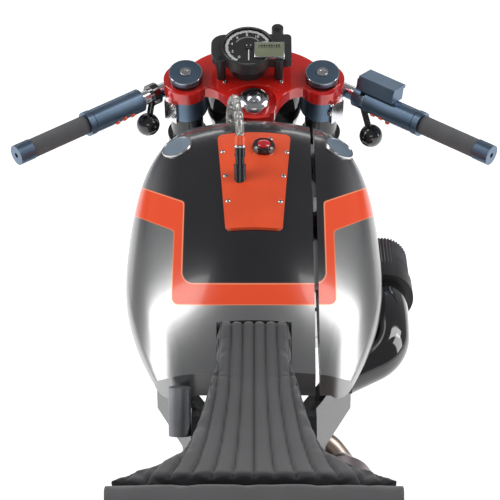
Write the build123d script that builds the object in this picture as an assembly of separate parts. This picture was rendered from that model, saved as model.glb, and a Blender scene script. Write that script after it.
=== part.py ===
"""Custom roadster motorcycle, in millimetres.

+Y is forward, +X is the rider's right and +Z is up. The floor is z = 0, and the
origin is on it, midway between the two ends of the machine. The motorcycle
stands on its centre stand and its front wheel.
"""
from build123d import *
from math import atan2, cos, degrees, hypot, pi, radians, sin, sqrt, tan
import os

# Driving dimensions: wheels and stance
WHEELBASE = 1420.0
FRONT_TYRE_R = 300.0
FRONT_TYRE_W = 120.0
REAR_TYRE_R = 315.0
REAR_TYRE_W = 180.0
RIM_BED_R = 221.7
RIM_WALL = 16.0
RIM_FLANGE_H = 11.0
RIM_FLANGE_T = 4.0
FRONT_RIM_W = 96.0
REAR_RIM_W = 146.0
TYRE_GAP = 0.3
REAR_WHEEL_LIFT = 15.0
FRONT_AXLE_Y = (WHEELBASE + REAR_TYRE_R - FRONT_TYRE_R) / 2
REAR_AXLE_Y = FRONT_AXLE_Y - WHEELBASE
REAR_AXLE_Z = REAR_TYRE_R + REAR_WHEEL_LIFT
AXLE_R = 12.5
RUNNING_GAP = 0.05
SEAT_GAP = 0.3
SPACER_GAP = 0.6

# Driving dimensions: steering head and fork
RAKE = 24.0
FORK_OFFSET = 42.0
FORK_HALF_SPACING = 104.0
FORK_LENGTH = 647.0
FORK_TUBE_R = 25.0
FORK_SLIDER_R = 20.5
SLIDER_SHOWN = 317.0
FORK_TUBE_LENGTH = FORK_LENGTH - SLIDER_SHOWN
CAP_R = 25.6
CAP_T = 9.0
CAP_RISE = 15.0
CLAMP_RING_R = 34.0
TOP_CLAMP_T = 22.0
BOTTOM_CLAMP_T = 34.0
BOTTOM_CLAMP_DROP = 200.0
STEM_R = 16.0
HEADSTOCK_R = 30.0
STEER_LOCK = 25.0

# Driving dimensions: bars
BAR_R = 11.0
BAR_SWEEP = 0.755
BAR_DROOP = 0.176
BAR_LEAD = FORK_TUBE_R + BAR_R + 3.0
CLIP_ON_R = 32.5
CLIP_ON_H = 40.0
GRIP_R = 14.5
GRIP_START_X = 255.0
GRIP_END_X = 331.0
BAR_END_X = 352.0
SWITCH_START_X = 175.0
SWITCH_R = 18.0

# Driving dimensions: tank, seat and frame
SLOT_X = 86.0
SLOT_W = 6.0
NOTCH_HALF_W = 49.0
NOTCH_Y = -22.0
TANK_FRONT_Y = 376.0
TANK_REAR_Y = -78.0
TANK_FRONT_ROUND = 20.0
TANK_REAR_ROUND = 46.0
SPAR_T = 24.0
SPAR_HALF_SPAN = 136.0
PIVOT_HALF_SPAN = 84.0
PIVOT_Y = -140.0
PIVOT_Z = 375.0
PIVOT_TUBE_R = 20.0
ARM_OUTER_X = 145.0
ARM_T = 26.0
CHAIN_X = -104.0

sin_rake = sin(radians(RAKE))
cos_rake = cos(radians(RAKE))

# The steering frame: x to the right, y square to the fork and forward, z up the
# fork. Its origin is on the steering axis, level with the top clamp's upper face.
front_axle = Vector(0, FRONT_AXLE_Y, FRONT_TYRE_R)
rear_axle = Vector(0, REAR_AXLE_Y, REAR_AXLE_Z)
fork_up = Vector(0, -sin_rake, cos_rake)
fork_out = Vector(0, cos_rake, sin_rake)
steer_origin = front_axle + fork_up * FORK_LENGTH - fork_out * FORK_OFFSET
STEER = Plane(origin=steer_origin, x_dir=(1, 0, 0), z_dir=fork_up)


def rod(start, end, radius):
    """A round bar between two points."""
    run = Vector(*end) - Vector(*start)
    place = Plane(origin=start, z_dir=run.normalized())
    return place * Cylinder(radius, run.length, align=(Align.CENTER, Align.CENTER, Align.MIN))


def cross_rod(x_from, x_to, centre, radius):
    """A round bar across the motorcycle, through a centre's y and z."""
    return rod((x_from, centre.Y, centre.Z), (x_to, centre.Y, centre.Z), radius)


def block(low, high):
    """A box between two corners."""
    size = [b - a for a, b in zip(low, high)]
    middle = [(a + b) / 2 for a, b in zip(low, high)]
    return Pos(*middle) * Box(*size)


def across(outline, x_low, x_high):
    """A side-view outline of (y, z) points, as thick as from x_low to x_high."""
    face = Plane.YZ.offset(x_low) * make_face(Polyline(*outline, close=True))
    return extrude(face, x_high - x_low)


def down(outline, z_low, z_high):
    """A plan outline of (x, y) points, as deep as from z_low to z_high."""
    face = Plane.XY.offset(z_low) * make_face(Polyline(*outline, close=True))
    return extrude(face, z_high - z_low)


def turned(profile, centre):
    """A wheel part: its (x, radius) profile turned about the axle."""
    face = make_face(Polyline(*profile, close=True))
    return Pos(*centre) * revolve(face, Axis.X)


def both_sides(shape):
    """A shape and its mirror image across the middle of the motorcycle."""
    return [shape, mirror(shape, Plane.YZ)]


def bend_radii(points):
    """The largest easy arc at each corner of a route, from its runs and turn."""
    places = [Vector(*point) for point in points]
    radii = []
    for before, corner, after in zip(places, places[1:], places[2:]):
        arriving = corner - before
        leaving = after - corner
        turn = radians(arriving.get_angle(leaving))
        shorter = min(arriving.length, leaving.length)
        radii.append(0.45 * shorter / tan(turn / 2))
    return radii


def pipe(points, radius):
    """A bent tube's outer form along straight runs and arcs."""
    route = FilletPolyline(*points, radius=bend_radii(points))
    section = Plane(origin=route @ 0, z_dir=route % 0) * Circle(radius)
    return sweep(section, path=route)


def save(name, shapes):
    """Writes one sub-part; a list of shapes becomes one file of apart solids."""
    if not isinstance(shapes, list):
        shapes = [shapes]
    solids = []
    for shape in shapes:
        solids.extend(shape.solids())
    whole = solids[0] if len(solids) == 1 else Compound(children=solids)
    export_step(whole, f"parts/{name}.step")


# Wheels

SPOKE_PAIRS = 5
SPOKE_W = 15.0
SPOKE_T = 22.0
HUB_R = 40.0
DISC_T = 5.0
FRONT_DISC_R = 160.0
REAR_DISC_R = 120.0
FRONT_DISC_X = 62.0
REAR_DISC_X = 78.0
DISC_BAND = 34.0
CARRIER_ARMS = 5


def tyre(radius, width, rim_width, centre):
    """A tyre with round shoulders, seated between the rim's flanges."""
    bead_x = rim_width / 2 - RIM_FLANGE_T - TYRE_GAP
    bead_r = RIM_BED_R + TYRE_GAP
    wall_x = width / 2
    wall_r = bead_r + 0.48 * (radius - bead_r)
    flange_r = RIM_BED_R + RIM_FLANGE_H + TYRE_GAP
    right = [
        Line((bead_x, bead_r), (bead_x, flange_r)),
        Line((bead_x, flange_r), (wall_x - 4, wall_r - 14)),
        ThreePointArc((wall_x - 4, wall_r - 14), (wall_x, wall_r), (wall_x - 4, wall_r + 12)),
    ]
    crown = ThreePointArc((wall_x - 4, wall_r + 12), (0, radius), (4 - wall_x, wall_r + 12))
    left = [mirror(edge, Plane.YZ) for edge in right]
    base = Line((-bead_x, bead_r), (bead_x, bead_r))
    face = make_face(Curve() + right + [crown] + left + [base])
    return Pos(*centre) * revolve(face, Axis.X)


def rim(rim_width, centre):
    """The rim: a bed between two flanges, with a rounded-off inner face."""
    half = rim_width / 2
    inner_r = RIM_BED_R - RIM_WALL
    flange_r = RIM_BED_R + RIM_FLANGE_H
    return turned([
        (-half, flange_r), (RIM_FLANGE_T - half, flange_r), (RIM_FLANGE_T - half, RIM_BED_R),
        (half - RIM_FLANGE_T, RIM_BED_R), (half - RIM_FLANGE_T, flange_r), (half, flange_r),
        (half, inner_r + 8), (half - 18, inner_r), (18 - half, inner_r), (-half, inner_r + 8),
    ], centre)


def spoked_centre(hub_half_w, centre):
    """The wheel's centre: a hub with its bore, and pairs of tapering spokes."""
    inner_r = RIM_BED_R - RIM_WALL
    shape = Pos(*centre) * Rot(0, 90, 0) * Cylinder(HUB_R, 2 * hub_half_w)
    for number in range(SPOKE_PAIRS):
        middle = 360 / SPOKE_PAIRS * number + 90
        for side in (-1, 1):
            foot = radians(middle + 16 * side)
            head = radians(middle + 11 * side)
            start = (HUB_R - 8) * cos(foot), (HUB_R - 8) * sin(foot)
            end = (inner_r + 6) * cos(head), (inner_r + 6) * sin(head)
            run = hypot(end[0] - start[0], end[1] - start[1])
            turn = degrees(atan2(end[1] - start[1], end[0] - start[0]))
            leg = make_face(Polyline(
                (0, -0.7 * SPOKE_W), (run, -SPOKE_W / 2), (run, SPOKE_W / 2), (0, 0.7 * SPOKE_W),
                close=True))
            leg = Pos(start[0], start[1]) * Rot(0, 0, turn) * leg
            leg = extrude(Plane.YZ.offset(-SPOKE_T / 2) * leg, SPOKE_T)
            shape += Pos(*centre) * leg
    bore = Pos(*centre) * Rot(0, 90, 0) * Cylinder(AXLE_R + RUNNING_GAP, 2 * hub_half_w + 2)
    within = Pos(*centre) * Rot(0, 90, 0) * Cylinder(inner_r - RUNNING_GAP, 2 * hub_half_w + 2)
    return (shape & within) - bore


def brake_disc(outer_r, inner_x, centre):
    """A disc on a carrier with open windows; inner_x is its hub-side face."""
    ring = Cylinder(outer_r, DISC_T) - Cylinder(outer_r - DISC_BAND, DISC_T)
    carrier = Cylinder(HUB_R - 2, DISC_T) - Cylinder(AXLE_R + 3, DISC_T)
    shape = ring + carrier
    reach = outer_r - DISC_BAND + 4
    for number in range(CARRIER_ARMS):
        arm = Pos(reach / 2 + 10, 0, 0) * Box(reach - 20, 18, DISC_T)
        shape += Rot(0, 0, 360 / CARRIER_ARMS * number + 20) * arm
    middle_x = inner_x + (DISC_T if inner_x > 0 else -DISC_T) / 2
    return Pos(*centre) * Pos(middle_x, 0, 0) * Rot(0, 90, 0) * shape


def build_wheels():
    save("front_wheel_rim", rim(FRONT_RIM_W, front_axle))
    save("front_wheel_spokes", spoked_centre(FRONT_DISC_X, front_axle))
    save("front_tyre", tyre(FRONT_TYRE_R, FRONT_TYRE_W, FRONT_RIM_W, front_axle))
    save("front_discs", both_sides(brake_disc(FRONT_DISC_R, FRONT_DISC_X, front_axle)))
    save("rear_wheel_rim", rim(REAR_RIM_W, rear_axle))
    save("rear_wheel_spokes", spoked_centre(REAR_DISC_X, rear_axle))
    save("rear_tyre", tyre(REAR_TYRE_R, REAR_TYRE_W, REAR_RIM_W, rear_axle))
    save("rear_disc", brake_disc(REAR_DISC_R, REAR_DISC_X, rear_axle))


# Front end

def local(x, out, up):
    """A point given in the steering frame, in the motorcycle's frame."""
    return STEER.from_local_coords(Vector(x, out, up))


def disc_at(x, out, up_low, up_high, radius):
    """A cylinder along the fork, in the steering frame's own numbers."""
    middle = (up_low + up_high) / 2
    return Pos(x, out, middle) * Cylinder(radius, up_high - up_low)


BOSS_DROP = 8.0


def top_clamp():
    """The sculpted top clamp: two fork rings, a broad bridge and the stem boss."""
    x0 = FORK_HALF_SPACING
    right = [
        Line((0, 98), (58, 98)),
        ThreePointArc((58, 98), (78, 88), (x0 - 8, 72)),
        Line((x0 - 8, 72), (x0 + 14, 70)),
        Line((x0 + 14, 70), (x0, 12)),
        ThreePointArc((x0, 12), (78, 25), (54, 19)),
        ThreePointArc((54, 19), (38, -2), (30, -28)),
        Line((30, -28), (0, -32)),
    ]
    left = [mirror(edge, Plane.YZ) for edge in right]
    shape = extrude(make_face(Curve() + right + left), -TOP_CLAMP_T)
    for side in (-1, 1):
        shape += disc_at(side * x0, FORK_OFFSET, -TOP_CLAMP_T, 0, CLAMP_RING_R)
    shape += disc_at(0, 0, -TOP_CLAMP_T, -BOSS_DROP, 32)
    shape -= disc_at(0, -4, -BOSS_DROP, 1, 34)
    for side in (-1, 1):
        shape -= disc_at(side * x0, FORK_OFFSET, -TOP_CLAMP_T - 1, 1, FORK_TUBE_R + SEAT_GAP)
        shape -= Pos(side * 56, 52, -TOP_CLAMP_T) * Box(34, 46, 20)
    shape -= disc_at(0, 0, -TOP_CLAMP_T - 1, 1, STEM_R + SEAT_GAP)
    return STEER * shape


def bottom_clamp():
    """The lower fork clamp, with its own two rings."""
    x0 = FORK_HALF_SPACING
    top = -BOTTOM_CLAMP_DROP
    low = top - BOTTOM_CLAMP_T
    outline = [(-x0, 16), (-30, -24), (30, -24), (x0, 16), (x0, 68), (-x0, 68)]
    shape = extrude(make_face(Polyline(*outline, close=True)), -BOTTOM_CLAMP_T)
    shape = Pos(0, 0, top) * shape
    for side in (-1, 1):
        shape += disc_at(side * x0, FORK_OFFSET, low, top, CLAMP_RING_R)
    for side in (-1, 1):
        shape -= disc_at(side * x0, FORK_OFFSET, low - 1, top + 1, FORK_TUBE_R + SEAT_GAP)
    shape -= disc_at(0, 0, low - 1, top + 1, STEM_R + SEAT_GAP)
    return STEER * shape


def fork_parts():
    """Upper tubes, sliders with axle feet, and the screwed caps."""
    x0 = FORK_HALF_SPACING
    tubes = []
    sliders = []
    caps = []
    tube_low = CAP_RISE - CAP_T - FORK_TUBE_LENGTH
    foot_up = -FORK_LENGTH
    for side in (-1, 1):
        x = side * x0
        tube = disc_at(x, FORK_OFFSET, tube_low, CAP_RISE - CAP_T, FORK_TUBE_R)
        tube -= disc_at(x, FORK_OFFSET, tube_low - 1, tube_low + 60, FORK_SLIDER_R + SEAT_GAP)
        tubes.append(STEER * tube)
        slider = disc_at(x, FORK_OFFSET, foot_up, tube_low + 55, FORK_SLIDER_R)
        slider += disc_at(x, FORK_OFFSET, foot_up, foot_up + 90, FORK_SLIDER_R + 4)
        foot = Pos(x, FORK_OFFSET, foot_up) * Rot(0, 90, 0) * Cylinder(30, 2 * FORK_SLIDER_R + 4)
        slider += foot
        bore = Pos(x, FORK_OFFSET, foot_up) * Rot(0, 90, 0) * Cylinder(AXLE_R, 90)
        sliders.append(STEER * (slider - bore))
        cap = disc_at(x, FORK_OFFSET, CAP_RISE - CAP_T, CAP_RISE, CAP_R)
        cap -= disc_at(x, FORK_OFFSET, CAP_RISE - 4, CAP_RISE + 1, 9)
        cap += disc_at(x, FORK_OFFSET, CAP_RISE - 5, CAP_RISE - 1, 6)
        caps.append(STEER * cap)
    save("fork_tubes", tubes)
    save("fork_sliders", sliders)
    save("fork_caps", caps)
    half = x0 + FORK_SLIDER_R + 8
    axle = cross_rod(-half, half, front_axle, AXLE_R)
    for side in (-1, 1):
        inner = side * (FRONT_DISC_X + DISC_T + SPACER_GAP)
        outer = side * (x0 - FORK_SLIDER_R - 4 - SEAT_GAP)
        axle += cross_rod(inner, outer, front_axle, AXLE_R + 6)
    save("front_axle", axle)


def stem():
    """The steering stem and its stepped nut."""
    low = -BOTTOM_CLAMP_DROP - BOTTOM_CLAMP_T
    shape = disc_at(0, 0, low, 0, STEM_R)
    for nut_low, nut_high, radius in ((SEAT_GAP - BOSS_DROP, -1, 24), (-1, 3, 20), (3, 6, 11)):
        shape += disc_at(0, 0, nut_low, nut_high, radius)
    return STEER * shape


def bar_point(side, x, rise=0.0, lead=0.0):
    """A point on a bar's middle line, by its distance from the middle plane."""
    start = local(FORK_HALF_SPACING, FORK_OFFSET + BAR_LEAD, -TOP_CLAMP_T - CLIP_ON_H / 2)
    step = x - FORK_HALF_SPACING
    y = start.Y - BAR_SWEEP * step + lead
    z = start.Z - BAR_DROOP * step + rise
    return Vector(side * x, y, z)


def bar_plane(side, x):
    """A plane square to the bar at x, its z outwards along the bar, its y upwards."""
    run = (bar_point(side, BAR_END_X) - bar_point(side, SWITCH_START_X)).normalized()
    side_dir = Vector(0, 0, 1).cross(run).normalized()
    return Plane(origin=bar_point(side, x), x_dir=side_dir, z_dir=run)


def along_bar(side, x_low, x_high, radius, inner=0.0):
    """A round piece on the bar between two distances from the middle plane."""
    shape = rod(bar_point(side, x_low), bar_point(side, x_high), radius)
    if inner:
        shape -= rod(bar_point(side, x_low - 5), bar_point(side, x_high + 5), inner)
    return shape


def bars():
    """Clip-on clamps round the fork tubes, each with its bar."""
    pieces = []
    top = -TOP_CLAMP_T - SEAT_GAP
    for side in (-1, 1):
        x = side * FORK_HALF_SPACING
        clamp = disc_at(x, FORK_OFFSET, top - CLIP_ON_H, top, CLIP_ON_R)
        lug = Pos(x, FORK_OFFSET + BAR_LEAD - 6, top - CLIP_ON_H / 2) * Box(34, 30, CLIP_ON_H - 8)
        clamp += lug
        split = Pos(x + side * 20, FORK_OFFSET - 24, top - CLIP_ON_H / 2)
        clamp += split * Rot(0, 0, side * 35) * Box(22, 14, CLIP_ON_H)
        bore = disc_at(x, FORK_OFFSET, top - CLIP_ON_H - 9, top + 9, FORK_TUBE_R + SEAT_GAP)
        bar = rod(bar_point(side, FORK_HALF_SPACING - 14), bar_point(side, BAR_END_X - 14), BAR_R)
        pieces.append(STEER * clamp + bar - STEER * bore)
    return pieces


def grips():
    """Foam grips with their end caps' seats."""
    pieces = []
    for side in (-1, 1):
        pieces.append(along_bar(side, GRIP_START_X, GRIP_END_X, GRIP_R, BAR_R + SEAT_GAP))
    return pieces


def bar_fittings():
    """Flange collars inside the grips and end caps outside them."""
    pieces = []
    for side in (-1, 1):
        pieces.append(along_bar(side, GRIP_START_X - 9, GRIP_START_X - 1, GRIP_R + 4.5, BAR_R + SEAT_GAP))
        cap = along_bar(side, GRIP_END_X + 0.5, BAR_END_X, GRIP_R + 1)
        cap -= along_bar(side, GRIP_END_X - 5, BAR_END_X - 13.5, BAR_R + SEAT_GAP)
        cap -= along_bar(side, BAR_END_X - 12, BAR_END_X + 5, 4.0)
        pieces.append(cap)
    return pieces


def switch_blocks():
    """Barrel housings round the bars, with the button blocks behind them."""
    pieces = []
    for side in (-1, 1):
        barrel = along_bar(side, SWITCH_START_X, GRIP_START_X - 10, SWITCH_R)
        frame = bar_plane(side, SWITCH_START_X + 42)
        back = -1 if side > 0 else 1
        pod = frame * Pos(back * -14, -12, 0) * Box(26, 20, 46)
        shape = barrel + pod
        for step in (-13, 0, 13):
            shape += frame * Pos(back * -27, -10, step) * Rot(0, 90, 0) * Cylinder(4.2, 4)
        shape -= along_bar(side, SWITCH_START_X - 9, GRIP_START_X, BAR_R + SEAT_GAP)
        pieces.append(shape)
    return pieces


def levers():
    """Clutch and brake levers, in front of the grips and a little lower."""
    pieces = []
    for side in (-1, 1):
        root = bar_point(side, SWITCH_START_X + 16, -14, 32)
        bend = bar_point(side, SWITCH_START_X + 62, -20, 56)
        tip = bar_point(side, BAR_END_X - 26, -20, 44)
        perch = rod(bar_point(side, SWITCH_START_X + 16), root, 9)
        shape = perch + rod(root, bend, 6.5) + rod(bend, tip, 6) + Pos(*bend) * Sphere(6.5)
        shape += Pos(*root) * Sphere(9.5) + Pos(*tip) * Sphere(8)
        shape -= along_bar(side, SWITCH_START_X - 30, SWITCH_START_X + 60, SWITCH_R + SEAT_GAP)
        pieces.append(shape)
    return pieces


RESERVOIR_X = 190.0
COLLAR_X = 163.0
COLLAR_HALF_W = 5.0
COLLAR_R = BAR_R + 6.0


def reservoir():
    """The brake fluid reservoir above the right barrel, with its lid and collar."""
    frame = bar_plane(1, RESERVOIR_X)
    low = SWITCH_R + SEAT_GAP
    body = frame * Pos(0, low + 10, 0) * Box(28, 20, 62)
    lid = frame * Pos(0, low + 22, 0) * Box(31, 5, 65)
    collar = along_bar(1, COLLAR_X - COLLAR_HALF_W, COLLAR_X + COLLAR_HALF_W, COLLAR_R)
    post = bar_plane(1, COLLAR_X) * Pos(0, (low + 14) / 2, 0) * Box(14, low + 14, 11)
    shape = body + lid + collar + post
    return shape - along_bar(1, SWITCH_START_X - 60, SWITCH_START_X + 60, BAR_R + SEAT_GAP)


BALL_R = 18.0
# Bar lamps: side, how far out the ball is, how far it hangs below the bar, and
# how far behind it.
BAR_LAMPS = ((-1, 163.0, 42.0, 10.0), (1, 180.0, 55.0, 4.0))


def bar_lamps():
    """Round indicator lamps on short stalks, the right one under the reservoir's collar."""
    pieces = []
    for side, out, drop, back in BAR_LAMPS:
        collar_x = COLLAR_X - 8 if side < 0 else COLLAR_X
        hang = bar_point(side, collar_x)
        ball = bar_point(side, out, -drop, -back)
        shape = rod(hang, ball, 5) + Pos(*ball) * Sphere(BALL_R)
        room = BAR_R + SEAT_GAP
        if side < 0:
            shape += along_bar(side, collar_x - COLLAR_HALF_W, collar_x + COLLAR_HALF_W, COLLAR_R)
        else:
            room = COLLAR_R + SEAT_GAP
        shape -= along_bar(side, collar_x - 40, collar_x + 40, room)
        shape -= along_bar(side, SWITCH_START_X - 1, SWITCH_START_X + 40, SWITCH_R + SEAT_GAP)
        pieces.append(shape)
    return pieces


GAUGE_X = -9.0
GAUGE_OUT = 66.0
GAUGE_FACE_UP = 47.0
GAUGE_R = 41.0
GAUGE_CAN_R = 28.5
GAUGE_DEPTH = 20.0
GAUGE_BEZEL_RISE = 4.0
GAUGE_RECESS = 3.0
GAUGE_LEG_R = 7.0
# Mounting lugs of the gauge: x, out, and whether a leg reaches down to the clamp.
GAUGE_LUGS = ((-50.0, 46.0, True), (38.0, 46.0, True), (36.0, 108.0, False))
# Side lobes of the housing: x, out, width, depth and corner radius.
GAUGE_LOBES = ((-34.0, 67.0, 62.0, 54.0, 20.0), (24.0, 68.0, 66.0, 54.0, 7.0))


def gauge():
    """The instrument: a round housing with side lobes, its can, lugs and legs."""
    low = GAUGE_FACE_UP - GAUGE_DEPTH
    high = GAUGE_FACE_UP - GAUGE_BEZEL_RISE
    outline = Pos(GAUGE_X, GAUGE_OUT) * Circle(GAUGE_R)
    for x, out, width, depth, corner in GAUGE_LOBES:
        outline += Pos(x, out) * RectangleRounded(width, depth, corner)
    for x, out, reaches in GAUGE_LUGS:
        outline += Pos(x, out) * Circle(GAUGE_LEG_R + 2)
        neck_y = GAUGE_OUT - 12 if reaches else GAUGE_OUT + 20
        outline += Pos(x, (out + neck_y) / 2) * Rectangle(2 * GAUGE_LEG_R, abs(out - neck_y))
    shape = Pos(0, 0, low) * extrude(outline, high - low)
    shape += disc_at(GAUGE_X, GAUGE_OUT, low + 2, GAUGE_FACE_UP, GAUGE_R)
    shape -= disc_at(GAUGE_X, GAUGE_OUT, GAUGE_FACE_UP - GAUGE_RECESS, GAUGE_FACE_UP + 1, GAUGE_R - 4)
    shape += disc_at(GAUGE_X, GAUGE_OUT, SEAT_GAP, low + 1, GAUGE_CAN_R)
    for x, out, reaches in GAUGE_LUGS:
        if reaches:
            shape += disc_at(x, out, SEAT_GAP, low + 1, GAUGE_LEG_R)
    return STEER * shape


LAMP_R = 76.0
LAMP_OUT = 131.0
LAMP_DROP = 134.0
LAMP_RIM = 22.0
LAMP_BACK = 62.0
EAR_T = 6.0


def headlight():
    """A round headlight held by two ears from the fork tubes."""
    middle = local(0, LAMP_OUT, -LAMP_DROP)
    shape = Pos(*middle) * Rot(-90, 0, 0) * Cylinder(LAMP_R, 2 * LAMP_RIM)
    bowl = Pos(middle.X, middle.Y - LAMP_RIM, middle.Z) * Sphere(LAMP_R)
    keep = block((-LAMP_R - 1, middle.Y - LAMP_BACK, middle.Z - LAMP_R - 1),
                 (LAMP_R + 1, middle.Y, middle.Z + LAMP_R + 1))
    shape += bowl & keep
    for side in (-1, 1):
        ear_x = side * (LAMP_R + 10)
        reach = LAMP_OUT - FORK_OFFSET + 8
        ear = Pos(ear_x, FORK_OFFSET + reach / 2, -LAMP_DROP) * Box(EAR_T, reach, 30)
        fork_x = side * FORK_HALF_SPACING
        band = disc_at(fork_x, FORK_OFFSET, -LAMP_DROP - 15, -LAMP_DROP + 15, FORK_TUBE_R + 6)
        foot = Pos(side * (LAMP_R + 2), LAMP_OUT - 2, -LAMP_DROP) * Box(20, 18, 20)
        shape += STEER * (band + ear + foot)
        shape -= STEER * disc_at(fork_x, FORK_OFFSET, -LAMP_DROP - 30, -LAMP_DROP + 30,
                                 FORK_TUBE_R + SEAT_GAP)
    return shape


GUARD_GAP = 12.0
GUARD_T = 4.0
GUARD_HALF_W = 66.0


def front_mudguard():
    """A short guard over the tyre, on plates from the sliders."""
    inner = FRONT_TYRE_R + GUARD_GAP
    shell = Rot(0, 90, 0) * (Cylinder(inner + GUARD_T, 2 * GUARD_HALF_W)
                             - Cylinder(inner, 2 * GUARD_HALF_W + 1))
    wedge = make_face(Polyline((0, 0), (-360, 150), (-360, 420), (90, 420), close=True))
    keep = extrude(Plane.YZ.offset(-GUARD_HALF_W) * wedge, 2 * GUARD_HALF_W)
    shape = Pos(*front_axle) * (shell & keep)
    for side in (-1, 1):
        x_low, x_high = sorted((side * (GUARD_HALF_W - 4), side * (FORK_HALF_SPACING - FORK_SLIDER_R + 8)))
        tab = Pos((x_low + x_high) / 2, FORK_OFFSET - 4, -FORK_LENGTH + inner - 31)
        shape += STEER * tab * Box(x_high - x_low, 26, 74)
        shape -= STEER * disc_at(side * FORK_HALF_SPACING, FORK_OFFSET,
                                 -FORK_LENGTH, -FORK_LENGTH + inner + 8, FORK_SLIDER_R + SEAT_GAP)
    clear = Rot(0, 90, 0) * Cylinder(inner, 2 * GUARD_HALF_W)
    return shape - Pos(*front_axle) * clear


CALIPER_SLOT_GAP = 5.0
CALIPER_TURN = 52.0


def caliper(disc_r, inner_x):
    """A caliper astride a disc, above the axle, in the disc's own frame."""
    body = Pos(0, 0, disc_r - 14) * Box(46, 92, 46)
    slot = Pos(0, 0, disc_r - 60) * Box(DISC_T + 2 * CALIPER_SLOT_GAP, 140, 132)
    return body - slot


def front_caliper(side):
    """A front caliper with its two ears, which seat on the slider."""
    middle = Pos(side * (FRONT_DISC_X + DISC_T / 2), front_axle.Y, front_axle.Z)
    shape = caliper(FRONT_DISC_R, side * FRONT_DISC_X)
    for up in (FRONT_DISC_R - 30, FRONT_DISC_R - 4):
        shape += Pos(side * 20, 62, up) * Box(12, 52, 14)
    shape = middle * Rot(CALIPER_TURN, 0, 0) * shape
    slider = disc_at(side * FORK_HALF_SPACING, FORK_OFFSET, -FORK_LENGTH - 1, -200, FORK_SLIDER_R + SEAT_GAP)
    return shape - STEER * slider


def rear_caliper():
    """The rear caliper on a bracket that the axle holds."""
    middle = Pos(REAR_DISC_X + DISC_T / 2, rear_axle.Y, rear_axle.Z)
    shape = caliper(REAR_DISC_R, REAR_DISC_X)
    plate_x = 30.0
    shape += Pos(plate_x - 5, 0, 62) * Box(18, 40, 84)
    shape += Pos(plate_x, 0, 0) * Rot(0, 90, 0) * Cylinder(26, 8)
    shape -= Pos(plate_x - 12, 0, 40) * Box(8, 60, 80)
    shape -= Rot(0, 90, 0) * Cylinder(AXLE_R + SEAT_GAP, 100)
    return middle * shape


def build_front_end():
    save("top_clamp", top_clamp())
    save("bottom_clamp", bottom_clamp())
    fork_parts()
    save("steering_stem", stem())
    save("clip_on_bars", bars())
    save("grips", grips())
    save("bar_end_caps", bar_fittings())
    save("switch_blocks", switch_blocks())
    save("levers", levers())
    save("brake_reservoir", reservoir())
    save("bar_lamps", bar_lamps())
    save("gauge", gauge())
    save("headlight", headlight())
    save("front_mudguard", front_mudguard())
    save("front_calipers", [front_caliper(side) for side in (-1, 1)])


# Tank

# Cross-sections of the tank from front to rear: y, the top on the middle line, the
# shoulder's x and z, the widest x and its z, and the lower edge's x and z.
TANK_SECTIONS = (
    (TANK_FRONT_Y, 856, 88, 844, 124, 808, 106, 738),
    (320, 866, 112, 846, 160, 786, 130, 716),
    (220, 844, 132, 812, 178, 752, 148, 694),
    (110, 806, 130, 776, 178, 728, 148, 676),
    (0, 752, 114, 734, 158, 700, 128, 660),
    (TANK_REAR_Y, 690, 96, 684, 124, 672, 104, 652),
)


def tank_face(y, top, shoulder_x, shoulder_z, wide_x, wide_z, low_x, low_z):
    """One closed cross-section, from arcs that meet smoothly."""
    crown = ThreePointArc((-shoulder_x, shoulder_z), (0, top), (shoulder_x, shoulder_z))
    shoulder = TangentArc((shoulder_x, shoulder_z), (wide_x, wide_z), tangent=crown % 1)
    flank = TangentArc((wide_x, wide_z), (low_x, low_z), tangent=shoulder % 1)
    left = [mirror(edge, Plane.YZ) for edge in (shoulder, flank)]
    base = Line((low_x, low_z), (-low_x, low_z))
    section = make_face(Curve() + [crown, shoulder, flank, base] + left)
    return Plane(origin=(0, y, 0), x_dir=(1, 0, 0), z_dir=(0, -1, 0)) * section


def tank_solid():
    """The whole tank before it is parted, with its notch for the seat's nose."""
    shape = loft([tank_face(*row) for row in TANK_SECTIONS])
    front_x = TANK_SECTIONS[0][4] + TANK_CORNER_ROOM
    rear_x = TANK_SECTIONS[-1][4] + TANK_CORNER_ROOM
    wide_x = max(row[4] for row in TANK_SECTIONS) + 40
    outline = make_face(Polyline(
        (-front_x, TANK_FRONT_Y), (front_x, TANK_FRONT_Y), (wide_x, 260), (wide_x, 60),
        (rear_x, TANK_REAR_Y), (-rear_x, TANK_REAR_Y), (-wide_x, 60), (-wide_x, 260), close=True))
    front_corners = outline.vertices().sort_by(Axis.Y)[-2:]
    outline = fillet(front_corners, TANK_FRONT_ROUND)
    rear_corners = outline.vertices().sort_by(Axis.Y)[:2]
    outline = fillet(rear_corners, TANK_REAR_ROUND)
    shape &= extrude(Pos(0, 0, 600) * outline, 400)
    notch = down([(-NOTCH_HALF_W - 2, -200), (NOTCH_HALF_W + 2, -200),
                  (NOTCH_HALF_W + 2, NOTCH_Y), (-NOTCH_HALF_W - 2, NOTCH_Y)], 600, 900)
    return shape - notch


# How far the plan outline's corners stand out from the end sections.
TANK_CORNER_ROOM = 8.0
PLATE_FRONT_Y = 306.0
PLATE_REAR_Y = 112.0
PLATE_FRONT_HALF = 54.0
PLATE_REAR_HALF = 40.0
PLATE_T = 4.0
PLATE_X = 0.0
BUTTON_Y = 268.0
BUTTON_X = 14.0
BUTTON_R = 16.0


def tank_top(y):
    """The height of the tank's middle line at y."""
    rows = [(row[0], row[1]) for row in TANK_SECTIONS]
    for (y1, z1), (y2, z2) in zip(rows, rows[1:]):
        if y2 <= y <= y1:
            return z1 + (z2 - z1) * (y - y1) / (y2 - y1)
    return rows[0][1]


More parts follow.
